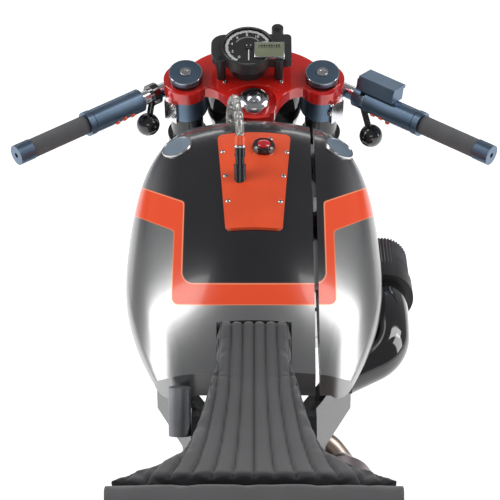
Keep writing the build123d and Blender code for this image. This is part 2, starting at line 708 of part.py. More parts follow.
def build_tank(whole):
    far = 400.0
    main = whole & block((-far, -far, 500), (SLOT_X - SLOT_W / 2, far + 100, 1000))
    side = whole & block((SLOT_X + SLOT_W / 2, -far, 500), (far, far + 100, 1000))
    save("tank_main", main)
    save("tank_side", side)
    outline = [(-PLATE_FRONT_HALF, PLATE_FRONT_Y), (PLATE_FRONT_HALF, PLATE_FRONT_Y),
               (PLATE_REAR_HALF, PLATE_REAR_Y), (-PLATE_REAR_HALF, PLATE_REAR_Y)]
    plate = down(outline, 700, 1000)
    plate = fillet(plate.edges().filter_by(Axis.Z), 9)
    lifted = Pos(0, 0, PLATE_T) * whole
    cover = (plate & lifted) - whole
    save("tank_plate", cover)
    slope = degrees(atan2(tank_top(PLATE_FRONT_Y) - tank_top(PLATE_REAR_Y), PLATE_FRONT_Y - PLATE_REAR_Y))
    seat_z = tank_top(BUTTON_Y) + PLATE_T + SEAT_GAP
    button = Cylinder(BUTTON_R, 20) + Pos(0, 0, 11) * Cylinder(BUTTON_R - 6, 4)
    button = Pos(BUTTON_X, BUTTON_Y, seat_z - 3) * Rot(slope, 0, 0) * button
    save("start_button", button - Pos(0, 0, PLATE_T + SEAT_GAP) * whole)


# Breather hose, from the fitting on the hatch plate over the tank's front edge to
# the union on the frame.

HOSE_R = 6.0
FITTING_X = -20.0
FITTING_Y = 205.0
FITTING_LEAN = 20.0
FITTING_L = 43.0
UNION_L = 36.0
# The fitting's steps: from and to along its length, and radius.
FITTING_STEPS = ((0, 17, 8.4), (17, 20, 9.2), (20, 31, 6.6), (31, 34, 8.0), (34, FITTING_L, 7.4))
# The hose's runs: length and direction, in degrees above the horizon.
HOSE_RUNS = ((26, 70), (27, 38), (28, 8), (38, -14), (46, -26), (36, -42), (30, -66), (46, -86), (46, -90))
HOSE_END_X = -36.0
# The hose moves across to its end's x this much faster than it runs on.
HOSE_CROSSING = 1.6


def hose_route():
    """The points of the hose, from the plate's fitting forward and down."""
    slope = radians(90 - FITTING_LEAN)
    y = FITTING_Y + (FITTING_L + RUNNING_GAP) * cos(slope)
    z = tank_top(FITTING_Y) + PLATE_T + (FITTING_L + RUNNING_GAP) * sin(slope)
    first = HOSE_RUNS[0][0]
    whole = sum(length for length, _ in HOSE_RUNS) - first
    gone = -first
    points = [(FITTING_X, y, z)]
    for length, angle in HOSE_RUNS:
        y += length * cos(radians(angle))
        z += length * sin(radians(angle))
        gone += length
        share = min(1.0, HOSE_CROSSING * gone / whole)
        points.append((FITTING_X + (HOSE_END_X - FITTING_X) * share, y, z))
    return points


def build_hose(tank, frame):
    """The hose between its fitting on the plate and its union on the frame."""
    points = hose_route()
    radii = bend_radii(points)
    print("hose radii", [round(radius) for radius in radii])
    save("breather_hose", pipe(points, HOSE_R))
    slope = tank_top(FITTING_Y) + PLATE_T
    base = Pos(FITTING_X, FITTING_Y, slope) * Rot(-FITTING_LEAN, 0, 0)
    fitting = base * Pos(0, 0, -4) * Cylinder(8.4, 8)
    for low, high, radius in FITTING_STEPS:
        fitting += base * Pos(0, 0, (low + high) / 2) * Cylinder(radius, high - low)
    end = Vector(*points[-1])
    fitting -= Pos(0, 0, PLATE_T + SEAT_GAP) * tank
    union = rod((end.X, end.Y, end.Z - UNION_L), tuple(end), HOSE_R + 1.2)
    save("hose_fitting", [fitting, union - frame])


# Seat

# Half-plan of the seat from nose to rear edge: y and half-width.
SEAT_PLAN = ((-25, NOTCH_HALF_W), (-100, 50), (-190, 64), (-295, 86), (-365, 124), (-403, 178))
SEAT_LOW = 692.0
SEAT_NOSE_T = 50.0
SEAT_MIDDLE_T = 30.0
SEAT_REAR_T = 42.0
SEAT_REAR_Y = -403.0
PAD_REAR_Y = -488.0
PAN_T = 8.0


def seat_plan(offset=0.0):
    """The seat's plan face: straight nose, flanks flaring to the rear."""
    right = [(half + offset, y) for y, half in SEAT_PLAN]
    nose = Line((-right[0][0], right[0][1]), (right[0][0], right[0][1]))
    flank = [
        Line(right[0], right[1]),
        ThreePointArc(right[1], right[2], right[3]),
        ThreePointArc(right[3], right[4], right[5]),
    ]
    left = [mirror(edge, Plane.YZ) for edge in flank]
    rear = Line(right[-1], (-right[-1][0], right[-1][1]))
    return make_face(Curve() + [nose, rear] + flank + left)


def build_seat():
    plan = extrude(Pos(0, 0, SEAT_LOW) * seat_plan(), 2 * SEAT_NOSE_T)
    nose_top = SEAT_LOW + SEAT_NOSE_T
    middle_top = SEAT_LOW + SEAT_MIDDLE_T
    rear_top = SEAT_LOW + SEAT_REAR_T
    side_face = make_face(Curve() + [
        Line((-25, SEAT_LOW), (-25, nose_top - 8)),
        Line((-25, nose_top - 8), (-33, nose_top)),
        ThreePointArc((-33, nose_top), (-200, middle_top), (SEAT_REAR_Y, rear_top)),
        Line((SEAT_REAR_Y, rear_top), (SEAT_REAR_Y, SEAT_LOW)),
        Line((SEAT_REAR_Y, SEAT_LOW), (-25, SEAT_LOW)),
    ])
    side = extrude(Plane.YZ.offset(-200) * side_face, 400)
    save("seat", plan & side)
    wide = SEAT_PLAN[-1][1]
    pad = down([(-wide, SEAT_REAR_Y - SEAT_GAP), (wide, SEAT_REAR_Y - SEAT_GAP),
                (wide - 6, PAD_REAR_Y), (6 - wide, PAD_REAR_Y)], SEAT_LOW, rear_top + 4)
    pad = fillet(pad.edges().filter_by(Axis.Y, reverse=True).filter_by(Axis.X).group_by(Axis.Z)[-1], 20)
    save("tail_pad", pad)
    top = SEAT_LOW - SEAT_GAP
    pan = extrude(Pos(0, 0, top - PAN_T) * seat_plan(-4), PAN_T)
    pan += down([(4 - wide, SEAT_REAR_Y), (wide - 4, SEAT_REAR_Y), (wide - 12, PAD_REAR_Y + 6),
                 (12 - wide, PAD_REAR_Y + 6)], top - PAN_T, top)
    lobe_room = block((-200, -84, 600), (-NOTCH_HALF_W, 0, 800)) + block((NOTCH_HALF_W, -84, 600), (200, 0, 800))
    save("seat_pan", pan - lobe_room)
    lamp = block((-60, PAD_REAR_Y + 4, top - PAN_T - 34), (60, PAD_REAR_Y + 24, top - PAN_T - SEAT_GAP))
    save("tail_lamp", lamp)


# Frame, subframe and swingarm

CROSS_TUBE_R = 13.0
SHOCK_TOP = (-130.0, 600.0)
STAND_Y = -120.0
STAND_Z = 262.0
STAND_PIN_R = 8.0


# Rubber-topped tank rests on the spars: how far out and how far along.
TANK_RESTS = ((124.0, 226.0), (124.0, 60.0))
TANK_REST_R = 11.0


def build_frame(tank):
    head_low = local(0, 0, -BOTTOM_CLAMP_DROP + 3)
    head_high = local(0, 0, -TOP_CLAMP_T - 4)
    head = rod(head_low, head_high, HEADSTOCK_R)
    root = (head_low + head_high) / 2
    plan = [
        (0, root.Y + 9), (24, root.Y - 1), (SPAR_HALF_SPAN, 262), (SPAR_HALF_SPAN, 20), (PIVOT_HALF_SPAN, -92),
        (PIVOT_HALF_SPAN, -190), (PIVOT_HALF_SPAN - SPAR_T, -190), (PIVOT_HALF_SPAN - SPAR_T, -88),
        (SPAR_HALF_SPAN - SPAR_T, 12), (SPAR_HALF_SPAN - SPAR_T, 252),
        (0, root.Y - 61),
    ]
    side_view = [
        (root.Y + 9, root.Z + 27), (root.Y - 61, root.Z - 43), (320, 708), (110, 668), (0, 648), (-72, 640), (-112, 640), (-150, 610),
        (-182, 400), (-182, 330), (-142, 240), (-132, 232), (-108, 232), (-98, 246), (-98, 340), (-90, 470),
        (-60, 560),
        (110, 586), (330, 626), (root.Y + 9, root.Z - 83),
    ]
    spar = down(plan, 200, 1000) & across(side_view, -5, 200)
    shape = head + spar + mirror(spar, Plane.YZ)
    for y, z in (SHOCK_TOP, (-140.0, 300.0)):
        shape += cross_rod(4 - PIVOT_HALF_SPAN, PIVOT_HALF_SPAN - 4, Vector(0, y, z), CROSS_TUBE_R)
    for x, y in TANK_RESTS:
        for side in (-1, 1):
            rest = Pos(side * x, y, 690) * Cylinder(TANK_REST_R, 100)
            shape += rest - Pos(0, 0, -SEAT_GAP) * tank
    shape -= rod(local(0, 0, -BOTTOM_CLAMP_DROP - 10), local(0, 0, 10), STEM_R + SEAT_GAP)
    shape -= cross_rod(-200, 200, Vector(0, PIVOT_Y, PIVOT_Z), PIVOT_TUBE_R + SEAT_GAP)
    shape -= cross_rod(-200, 200, Vector(0, STAND_Y, STAND_Z), STAND_PIN_R + SEAT_GAP)
    save("frame", shape)
    return shape


RAIL_X = 46.0
RAIL_R = 10.0


def build_subframe():
    rail_z = SEAT_LOW - SEAT_GAP - PAN_T - RAIL_R - SEAT_GAP
    shape = None
    for side in (-1, 1):
        root_x = side * (PIVOT_HALF_SPAN - SPAR_T + 6)
        upper = pipe([(root_x, -153 - SEAT_GAP, 590), (root_x, -180, 594), (side * RAIL_X, -240, rail_z),
                      (side * RAIL_X, PAD_REAR_Y + 26, rail_z)], RAIL_R)
        shape = upper if shape is None else shape + upper
    for y in (-300, PAD_REAR_Y + 40):
        shape += rod((-RAIL_X, y, rail_z), (RAIL_X, y, rail_z), 8)
    save("subframe", shape)


SHOCK_R = 24.0
BRIDGE_RISE = 56.0
SPROCKET_HUB_W = 24.0


def build_swingarm():
    arm = [
        (PIVOT_Y + 30, PIVOT_Z + 24), (PIVOT_Y - 190, PIVOT_Z + 36), (REAR_AXLE_Y + 40, REAR_AXLE_Z + 30),
        (REAR_AXLE_Y - 44, REAR_AXLE_Z + 24), (REAR_AXLE_Y - 44, REAR_AXLE_Z - 22),
        (REAR_AXLE_Y + 60, REAR_AXLE_Z - 26), (PIVOT_Y - 170, PIVOT_Z - 30), (PIVOT_Y + 30, PIVOT_Z - 24),
    ]
    shape = rod((-ARM_OUTER_X, PIVOT_Y, PIVOT_Z), (ARM_OUTER_X, PIVOT_Y, PIVOT_Z), PIVOT_TUBE_R)
    for side in (-1, 1):
        low, high = sorted((side * (ARM_OUTER_X - ARM_T), side * ARM_OUTER_X))
        shape += across(arm, low, high)
    bridge_top = PIVOT_Z + BRIDGE_RISE + 24
    bridge = block((-ARM_OUTER_X + 4, PIVOT_Y - 110, PIVOT_Z + BRIDGE_RISE),
                   (ARM_OUTER_X - 4, PIVOT_Y - 70, bridge_top))
    for side in (-1, 1):
        low, high = sorted((side * (ARM_OUTER_X - ARM_T), side * ARM_OUTER_X))
        bridge += block((low, PIVOT_Y - 110, PIVOT_Z), (high, PIVOT_Y - 70, bridge_top))
    shape += bridge
    for side in (-1, 1):
        bore = rod((side * (ARM_OUTER_X - ARM_T - 5), REAR_AXLE_Y, REAR_AXLE_Z),
                   (side * (ARM_OUTER_X + 5), REAR_AXLE_Y, REAR_AXLE_Z), AXLE_R)
        shape -= bore
        spool = rod((side * (ARM_OUTER_X - 8), REAR_AXLE_Y + 90, REAR_AXLE_Z - 12),
                    (side * (ARM_OUTER_X + 10), REAR_AXLE_Y + 90, REAR_AXLE_Z - 12), 11)
        shape += spool
        hole = rod((side * (ARM_OUTER_X - 20), REAR_AXLE_Y + 90, REAR_AXLE_Z - 12),
                   (side * (ARM_OUTER_X + 12), REAR_AXLE_Y + 90, REAR_AXLE_Z - 12), 3.4)
        shape -= hole
    save("swingarm", shape)
    end = ARM_OUTER_X + 14
    inner_face = ARM_OUTER_X - ARM_T - SEAT_GAP
    axle = cross_rod(-end, end, rear_axle, AXLE_R)
    axle += cross_rod(-inner_face, CHAIN_X - SPROCKET_T / 2 - SPACER_GAP, rear_axle, AXLE_R + 6)
    axle += cross_rod(REAR_DISC_X + DISC_T + SPACER_GAP, REAR_DISC_X + DISC_T + 20, rear_axle, AXLE_R + 6)
    save("rear_axle", axle)
    top = Vector(0, *SHOCK_TOP)
    foot = Vector(0, PIVOT_Y - 90, bridge_top)
    run = (foot - top).normalized()
    shock = rod(top, foot, 9)
    for number in range(7):
        middle = top + run * (34 + 14 * number)
        shock += rod(middle, middle + run * 7, SHOCK_R)
    shock -= block((-40, foot.Y - 60, 300), (40, foot.Y + 60, bridge_top + SEAT_GAP))
    shock -= cross_rod(-60, 60, top, CROSS_TUBE_R + SEAT_GAP)
    save("rear_shock", shock)


# Engine

CRANK = Vector(0, 60, 350)
CRANK_CASE_R = 118.0
CASE_HALF_W = 78.0
FRONT_BANK = 20.0
REAR_BANK = 110.0
CYLINDER_START = 100.0
FIN_COUNT = 8
HEAD_FIN_COUNT = 6
FIRST_FIN = 14.0
FIN_T = 2.6
FIN_PITCH = 9.0
FIN_W = 132.0
FIN_D = 126.0
FIN_CORNER = 26.0
GASKET_T = 3.0
BARREL_R = 50.0
HEAD_W = 126.0
HEAD_D = 112.0
HEAD_L = 76.0
PORT_R = 24.0


def slab(up, width, depth, corner, thickness):
    """A plate with round corners, square to the cylinder and centred up its axis."""
    return extrude(Pos(0, 0, up - thickness / 2) * RectangleRounded(width, depth, corner), thickness)


def cylinder_bank(angle):
    """One finned cylinder, its finned head and its cover, up from the crankshaft."""
    base = CYLINDER_START
    barrel_top = base + FIRST_FIN + FIN_PITCH * FIN_COUNT
    shape = Pos(0, 0, (base + barrel_top) / 2) * Cylinder(BARREL_R, barrel_top - base)
    shape += slab(base + GASKET_T, FIN_W - 10, FIN_D - 6, FIN_CORNER, 2 * GASKET_T)
    for number in range(FIN_COUNT):
        shape += slab(base + FIRST_FIN + FIN_PITCH * number, FIN_W, FIN_D, FIN_CORNER, FIN_T)
    head_low = barrel_top - FIN_PITCH / 2
    shape += slab(head_low + HEAD_L / 2, HEAD_W - 16, HEAD_D - 16, FIN_CORNER - 8, HEAD_L)
    for number in range(HEAD_FIN_COUNT):
        shape += slab(head_low + FIN_PITCH * (number + 0.5), HEAD_W, HEAD_D, FIN_CORNER, FIN_T + 1)
    cover_low = head_low + HEAD_L
    shape += slab(cover_low + 4, HEAD_W - 10, HEAD_D - 10, FIN_CORNER, 8)
    shape += slab(cover_low + 17, HEAD_W - 30, HEAD_D - 34, FIN_CORNER - 8, 18)
    for side in (-1, 1):
        port = Pos(0, side * (HEAD_D / 2 - 6), head_low + HEAD_L / 2) * Rot(90, 0, 0)
        shape += port * Cylinder(PORT_R, 16)
    return Pos(*CRANK) * Rot(angle - 90, 0, 0) * shape


def build_engine():
    case = Pos(*CRANK) * Rot(0, 90, 0) * Cylinder(CYLINDER_START - 1, 2 * CASE_HALF_W)
    gearbox = across([(60, 262), (60, 430), (-60, 436), (-88, 400), (-88, 300), (-60, 250)],
                     SPAR_T + SEAT_GAP - PIVOT_HALF_SPAN, PIVOT_HALF_SPAN - SPAR_T - SEAT_GAP)
    case += gearbox
    for angle in (FRONT_BANK, REAR_BANK):
        seat = Pos(0, 0, CYLINDER_START - 8) * Box(118, 118, 16)
        case += Pos(*CRANK) * Rot(angle - 90, 0, 0) * seat
        case -= Pos(*CRANK) * Rot(angle - 90, 0, 0) * Pos(0, 0, CYLINDER_START + 20) * Box(140, 140, 40)
    save("engine_case", case)
    save("front_cylinder", cylinder_bank(FRONT_BANK))
    save("rear_cylinder", cylinder_bank(REAR_BANK))
    covers = []
    for side in (-1, 1):
        x_low, x_high = sorted((side * (CASE_HALF_W + 0.2), side * (CASE_HALF_W + 34)))
        cover = rod((x_low, CRANK.Y, CRANK.Z), (x_high, CRANK.Y, CRANK.Z), 82)
        covers.append(cover)
    save("engine_covers", covers)


# Exhaust and intake

PIPE_R = 22.0
MUFFLER_R = 42.0
MUFFLER_X = 116.0


def build_exhaust():
    start = Vector(MUFFLER_X, -206, 594)
    end = Vector(MUFFLER_X, -470, 622)
    run = (end - start).normalized()
    outlet = start - run * SEAT_GAP
    bend = start - run * 60
    front = pipe([(0, 300.5, 374), (0, 330, 292), (0, 292, 206), (60, 130, 200), (138, 30, 225),
                  (142, -42, 330), (136, -100, 470), tuple(bend), tuple(outlet)], PIPE_R)
    rear = pipe([(HEAD_W / 2 + SEAT_GAP, -15, 538), (100, -15, 538), (132, -30, 500), (140, -62, 440),
                 (141, -62, 400)], PIPE_R - 4)
    save("exhaust_pipe", front + rear)
    save("muffler", rod(start, end, MUFFLER_R))


INTAKE_X = 192.0
INTAKE_Z = 662.0


def build_intake():
    save("intake_filter", rod((INTAKE_X, 300, INTAKE_Z), (INTAKE_X, 216, INTAKE_Z), 38))
    ring = rod((INTAKE_X, 215.7, INTAKE_Z), (INTAKE_X, 176, INTAKE_Z), 40)
    save("intake_ring", ring)
    elbow = pipe([(INTAKE_X, 175.7, INTAKE_Z), (INTAKE_X, 116, INTAKE_Z), (INTAKE_X - 2, 60, INTAKE_Z - 24),
                  (SPAR_HALF_SPAN - 12, 34, 618)], 30)
    elbow -= block((0, -100, 500), (SPAR_HALF_SPAN + SEAT_GAP, 300, 800))
    save("intake_elbow", elbow)


CANISTER_R = 15.0


def build_rest():
    pegs = []
    for side in (-1, 1):
        plate_x = side * (PIVOT_HALF_SPAN + 0.2)
        low, high = sorted((plate_x, plate_x + side * 10))
        hanger = across([(-112, 560), (-112, 470), (-150, 440), (-190, 470), (-150, 560)], low, high)
        peg = rod((side * PIVOT_HALF_SPAN + side * 4, -160, 466), (side * (PIVOT_HALF_SPAN + 130), -160, 466), 11)
        pegs.append(hanger + peg)
    save("footrests", pegs)
    canister_x = -PIVOT_HALF_SPAN - CANISTER_R - SEAT_GAP
    save("canister", rod((canister_x, -96, 676), (canister_x, -122, 616), CANISTER_R))


# Chain

SPROCKET_FRONT_Y = -75.0
SPROCKET_FRONT_Z = 372.0
SPROCKET_FRONT_R = 38.0
SPROCKET_REAR_R = 100.0
CHAIN_PITCH = 15.875
CHAIN_H = 15.0
CHAIN_W = 15.0
# One link's outline: how far along the pitch, and the half-height there.
LINK_OUTLINE = ((0.0, 7.5), (0.2, 6.6), (0.5, 4.9), (0.8, 6.6))
SPROCKET_WINDOWS = 6
SPROCKET_T = 6.0


def build_chain():
    def belt(extra):
        """The loop's outline round both sprockets, wider by extra."""
        front = Pos(SPROCKET_FRONT_Y, SPROCKET_FRONT_Z) * Circle(SPROCKET_FRONT_R + extra)
        rear = Pos(REAR_AXLE_Y, REAR_AXLE_Z) * Circle(SPROCKET_REAR_R + extra)
        return make_hull(front.edges() + rear.edges())
    middle = belt(0).face().outer_wire()
    count = round(middle.length / CHAIN_PITCH)
    outer = []
    inner = []
    for number in range(count):
        for part, half in LINK_OUTLINE:
            share = (number + part) / count
            place = middle.location_at(share).position
            tangent = middle.tangent_at(share)
            square = Vector(tangent.Y, -tangent.X, 0)
            outer.append(place + square * half)
            inner.append(place - square * half)
    face = make_face(Polyline(*outer, close=True))
    hollow = make_face(Polyline(*inner, close=True))
    face = face - hollow if face.area > hollow.area else hollow - face
    save("chain", extrude(Plane.YZ.offset(CHAIN_X - CHAIN_W / 2) * face, CHAIN_W))
    disc = Cylinder(SPROCKET_REAR_R - CHAIN_H / 2 - 0.5, SPROCKET_T)
    window = Pos(68, 0, 0) * Cylinder(13, SPROCKET_T + 2)
    for number in range(SPROCKET_WINDOWS):
        disc -= Rot(0, 0, 360 / SPROCKET_WINDOWS * number) * window
    shape = Pos(CHAIN_X, rear_axle.Y, rear_axle.Z) * Rot(0, 90, 0) * disc
    shape += cross_rod(-REAR_DISC_X, -REAR_DISC_X - SPROCKET_HUB_W, rear_axle, 48)
    shape -= cross_rod(-200, 0, rear_axle, AXLE_R + SEAT_GAP)
    save("rear_sprocket", shape)
    output = Vector(0, SPROCKET_FRONT_Y, SPROCKET_FRONT_Z)
    small = cross_rod(CHAIN_X - SPROCKET_T / 2, CHAIN_X + SPROCKET_T / 2, output,
                      SPROCKET_FRONT_R - CHAIN_H / 2 - 0.5)
    small += cross_rod(SPAR_T - PIVOT_HALF_SPAN, CHAIN_X - 8, output, 12)
    save("front_sprocket", small)
    save("rear_caliper", rear_caliper())


# Centre stand

STAND_FOOT_Y = -104.0
STAND_FOOT_X = 150.0
STAND_LEG_R = 11.0
STAND_EYE_R = 16.0
STAND_EYE_W = 14.0
STAND_SIDE_GAP = 1.5
STAND_BRIDGE_DROP = 110.0


def build_stand():
    shape = None
    pivot = Vector(0, STAND_Y, STAND_Z)
    eye_inner = PIVOT_HALF_SPAN + STAND_SIDE_GAP
    eye_middle = eye_inner + STAND_EYE_W / 2
    part_way = STAND_BRIDGE_DROP / (STAND_Z - 12)
    bridge_x = eye_middle + (STAND_FOOT_X - eye_middle) * part_way
    bridge_y = STAND_Y + (STAND_FOOT_Y - STAND_Y) * part_way
    for side in (-1, 1):
        leg = rod((side * eye_middle, STAND_Y, STAND_Z), (side * STAND_FOOT_X, STAND_FOOT_Y, 12), STAND_LEG_R)
        leg -= block((-eye_inner, STAND_Y - 60, STAND_Z - 60), (eye_inner, STAND_Y + 60, STAND_Z + 60))
        eye = cross_rod(side * eye_inner, side * (eye_inner + STAND_EYE_W), pivot, STAND_EYE_R)
        foot = Pos(side * STAND_FOOT_X, STAND_FOOT_Y, 5) * Box(40, 56, 10)
        whole = leg + eye + foot
        shape = whole if shape is None else shape + whole
    bridge_z = STAND_Z - STAND_BRIDGE_DROP
    shape += rod((-bridge_x, bridge_y, bridge_z), (bridge_x, bridge_y, bridge_z), STAND_LEG_R - 2)
    shape -= cross_rod(-200, 200, pivot, STAND_PIN_R + RUNNING_GAP)
    save("centre_stand", shape)
    half = eye_inner + STAND_EYE_W + 3
    save("stand_pin", cross_rod(-half, half, pivot, STAND_PIN_R))


def main():
    os.makedirs("parts", exist_ok=True)
    build_wheels()
    build_front_end()
    tank = tank_solid()
    build_tank(tank)
    build_seat()
    frame = build_frame(tank)
    build_hose(tank, frame)
    build_subframe()
    build_swingarm()
    build_engine()
    build_exhaust()
    build_intake()
    build_rest()
    build_chain()
    build_stand()


main()
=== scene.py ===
# %% [markdown]
# # Dressing a custom roadster motorcycle
# The CAD model already holds every rigid form of the machine. This lesson loads
# it, puts the camera where the photographer stood, and then adds what CAD leaves
# out: paint, a stitched seat, a dial, screws, tread, pleats and braid.

# %% Load the frame
import bpy
import bmesh
import math
from mathutils import Matrix, Vector
from mathutils.bvhtree import BVHTree


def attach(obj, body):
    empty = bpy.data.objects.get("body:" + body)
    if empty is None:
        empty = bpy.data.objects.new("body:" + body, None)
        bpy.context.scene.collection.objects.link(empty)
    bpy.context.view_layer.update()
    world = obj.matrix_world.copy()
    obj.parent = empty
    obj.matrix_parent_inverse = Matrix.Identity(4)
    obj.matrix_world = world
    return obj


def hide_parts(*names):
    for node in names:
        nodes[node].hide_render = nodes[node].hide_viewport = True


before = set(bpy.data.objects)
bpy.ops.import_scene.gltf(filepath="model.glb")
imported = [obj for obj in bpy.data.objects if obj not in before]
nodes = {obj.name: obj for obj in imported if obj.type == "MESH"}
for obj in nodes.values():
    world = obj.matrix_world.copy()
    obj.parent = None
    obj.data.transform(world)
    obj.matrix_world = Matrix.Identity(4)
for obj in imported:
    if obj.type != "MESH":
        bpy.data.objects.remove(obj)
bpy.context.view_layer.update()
scene = bpy.context.scene

# %% [markdown]
# ## Camera
# The photograph looks down on the machine from behind, along its length. A long
# lens 3 m away gives the same mild perspective. The small shift only centres the
# picture as the photograph is framed.

# %% Camera at the photograph's place
TARGET = Vector((0.0, 0.150, 0.780))
DISTANCE = 3.0
ELEVATION = math.radians(27)
FOCAL = 2113
PICTURE = 500
CENTRE_X, CENTRE_Y = 254, 234.5
LOOK = Vector((0, math.cos(ELEVATION), -math.sin(ELEVATION)))
EYE_UP = Vector((0, math.sin(ELEVATION), math.cos(ELEVATION)))
EYE = TARGET - LOOK * DISTANCE
lens = bpy.data.cameras.new("photo_camera")
lens.sensor_width = 36
lens.lens = FOCAL * lens.sensor_width / PICTURE
lens.shift_x = (PICTURE / 2 - CENTRE_X) / PICTURE
lens.shift_y = (CENTRE_Y - PICTURE / 2) / PICTURE
lens.clip_end = 60
camera = bpy.data.objects.new("photo_camera", lens)
camera.location = EYE
camera.rotation_euler = (math.pi / 2 - ELEVATION, 0, 0)
scene.collection.objects.link(camera)
scene.camera = camera
print("camera at", [round(c, 3) for c in EYE], "lens", round(lens.lens, 1), "mm")

# %% [markdown]
# ## From a pixel to a place
# Screws and inserts are placed where the photograph shows them. A ray from the
# eye through the pixel is followed until it meets the panel that carries the
# piece, so the piece sits on that panel from every side.

# %% Rays onto a panel
MM, PER_METRE = 0.001, 1000
DOWN = Vector((0, 0, -1))


def skin(*names):
    verts, faces = [], []
    for name in names:
        mesh = nodes[name].data
        start = len(verts)
        verts += [v.co.copy() for v in mesh.vertices]
        faces += [[start + i for i in p.vertices] for p in mesh.polygons]
    return BVHTree.FromPolygons(verts, faces)


def seen(tree, px, py):
    across = (px - CENTRE_X) / FOCAL
    down = (py - CENTRE_Y) / FOCAL
    ray = (LOOK + Vector((across, 0, 0)) - EYE_UP * down).normalized()
    spot, normal, _, _ = tree.ray_cast(EYE, ray)
    return spot, normal


def seat_on(spot, normal, turn=0.0):
    side = Vector((0, 1, 0)).cross(normal).normalized()
    ahead = normal.cross(side)
    axes = Matrix((side, ahead, normal)).transposed().to_4x4()
    return (Matrix.Translation(spot) @ axes @ Matrix.Rotation(turn, 4, "Z")
            @ Matrix.Scale(MM, 4))


tank_skin = skin("tank_main", "tank_side")
plate_skin = skin("tank_plate")
print("tank under the picture's middle:", seen(tank_skin, 254, 294))

# %% [markdown]
# ## Light and floor
# A product photograph on white: soft boxes above, at both sides, in front and
# behind, a pale sky all round, and a plain floor. Polished metal shows the boxes as
# long soft bands, so they are large and few. The sky lights the machine only
# faintly, yet the camera sees it white.

# %% Soft studio light
SKY_COLOUR = (0.96, 0.97, 1.0, 1)
SKY_LIGHT, SKY_SEEN = 0.24, 1.0


def soft_box(name, place, aim, size, power):
    data = bpy.data.lights.new(name, "AREA")
    data.shape = "RECTANGLE"
    data.size, data.size_y = size
    data.energy = power
    box = bpy.data.objects.new(name, data)
    box.location = place
    box.rotation_euler = (Vector(aim) - Vector(place)).to_track_quat("-Z", "Y").to_euler()
    scene.collection.objects.link(box)


LIGHTS = (
    # name, place, aim, size, power
    ("box_above_left", (-1.9, 0.5, 2.9), (0, 0.1, 0.7), (0.7, 2.4), 26),
    ("box_above_right", (1.9, 0.5, 2.9), (0, 0.1, 0.7), (0.7, 2.4), 26),
    ("box_left", (-2.8, 0.0, 1.9), (0, 0.1, 0.6), (1.0, 2.6), 34),
    ("box_right", (2.8, 0.0, 1.9), (0, 0.1, 0.6), (1.0, 2.6), 34),
    ("box_front", (0.0, 3.2, 2.4), (0, 0.4, 0.8), (2.4, 0.25), 7),
    ("box_behind", (0.0, -3.6, 2.2), (0, 0, 0.6), (2.0, 0.8), 10),
)
for name, place, aim, size, power in LIGHTS:
    soft_box(name, place, aim, size, power)
world = bpy.data.worlds.new("studio_white")
world.use_nodes = True
sky = world.node_tree
backdrop = sky.nodes["Background"].inputs
backdrop["Color"].default_value = SKY_COLOUR
strength = sky.nodes.new("ShaderNodeMapRange")
strength.inputs["To Min"].default_value = SKY_LIGHT
strength.inputs["To Max"].default_value = SKY_SEEN
to_camera = sky.nodes.new("ShaderNodeLightPath").outputs["Is Camera Ray"]
sky.links.new(to_camera, strength.inputs["Value"])
sky.links.new(strength.outputs[0], backdrop["Strength"])
scene.world = world
scene.view_settings.view_transform = "Standard"
print("soft boxes:", len(LIGHTS))

# %% [markdown]
# ## Shared effects
# Real paint and metal are never one colour. Three node groups carry the small
# changes: cloudy colour with fine grain, brushing in one direction, and dust that
# settles on faces that look up. Each material sets its own scale and strength.

# %% Tools for node groups
MIX_FACTOR, MIX_FIRST, MIX_SECOND, MIX_RESULT = 0, 6, 7, 2


def new_group(name, inputs, outputs):
    tree = bpy.data.node_groups.new(name, "ShaderNodeTree")
    for label, kind, value in inputs:
        socket = tree.interface.new_socket(name=label, in_out="INPUT", socket_type=kind)
        socket.default_value = value
    for label, kind in outputs:
        tree.interface.new_socket(name=label, in_out="OUTPUT", socket_type=kind)
    start = tree.nodes.new("NodeGroupInput")
    end = tree.nodes.new("NodeGroupOutput")
    return tree, start.outputs, end.inputs


def feed(tree, value, socket):
    if hasattr(value, "is_output"):
        tree.links.new(value, socket)
    else:
        socket.default_value = value


def calc(tree, operation, *values, clamp=False):
    node = tree.nodes.new("ShaderNodeMath")
    node.operation = operation
    node.use_clamp = clamp
    for value, socket in zip(values, node.inputs):
        feed(tree, value, socket)
    return node.outputs[0]


def distance(tree, a, b):
    squares = calc(tree, "ADD", calc(tree, "MULTIPLY", a, a), calc(tree, "MULTIPLY", b, b))
    return calc(tree, "SQRT", squares)


def blend_colours(tree, factor, first, second):
    node = tree.nodes.new("ShaderNodeMix")
    node.data_type = "RGBA"
    feed(tree, factor, node.inputs[MIX_FACTOR])
    for colour, number in ((first, MIX_FIRST), (second, MIX_SECOND)):
        whole = (*colour, 1) if isinstance(colour, tuple) else colour
        feed(tree, whole, node.inputs[number])
    return node.outputs[MIX_RESULT]


def noise(tree, scale, detail=3.0, stretch=(1, 1, 1)):
    where = tree.nodes.new("ShaderNodeTexCoord").outputs["Object"]
    turn = tree.nodes.new("ShaderNodeMapping")
    turn.inputs["Scale"].default_value = stretch
    tree.links.new(where, turn.inputs["Vector"])
    node = tree.nodes.new("ShaderNodeTexNoise")
    node.inputs["Detail"].default_value = detail
    tree.links.new(turn.outputs[0], node.inputs["Vector"])
    feed(tree, scale, node.inputs["Scale"])
    return node.outputs["Fac"]


def object_axes(tree):
    axes = tree.nodes.new("ShaderNodeSeparateXYZ")
    where = tree.nodes.new("ShaderNodeTexCoord").outputs["Object"]
    tree.links.new(where, axes.inputs[0])
    return tuple(axes.outputs)


def bump(tree, height, depth, strength=1.0):
    node = tree.nodes.new("ShaderNodeBump")
    node.inputs["Strength"].default_value = strength
    node.inputs["Distance"].default_value = depth
    tree.links.new(height, node.inputs["Height"])
    return node


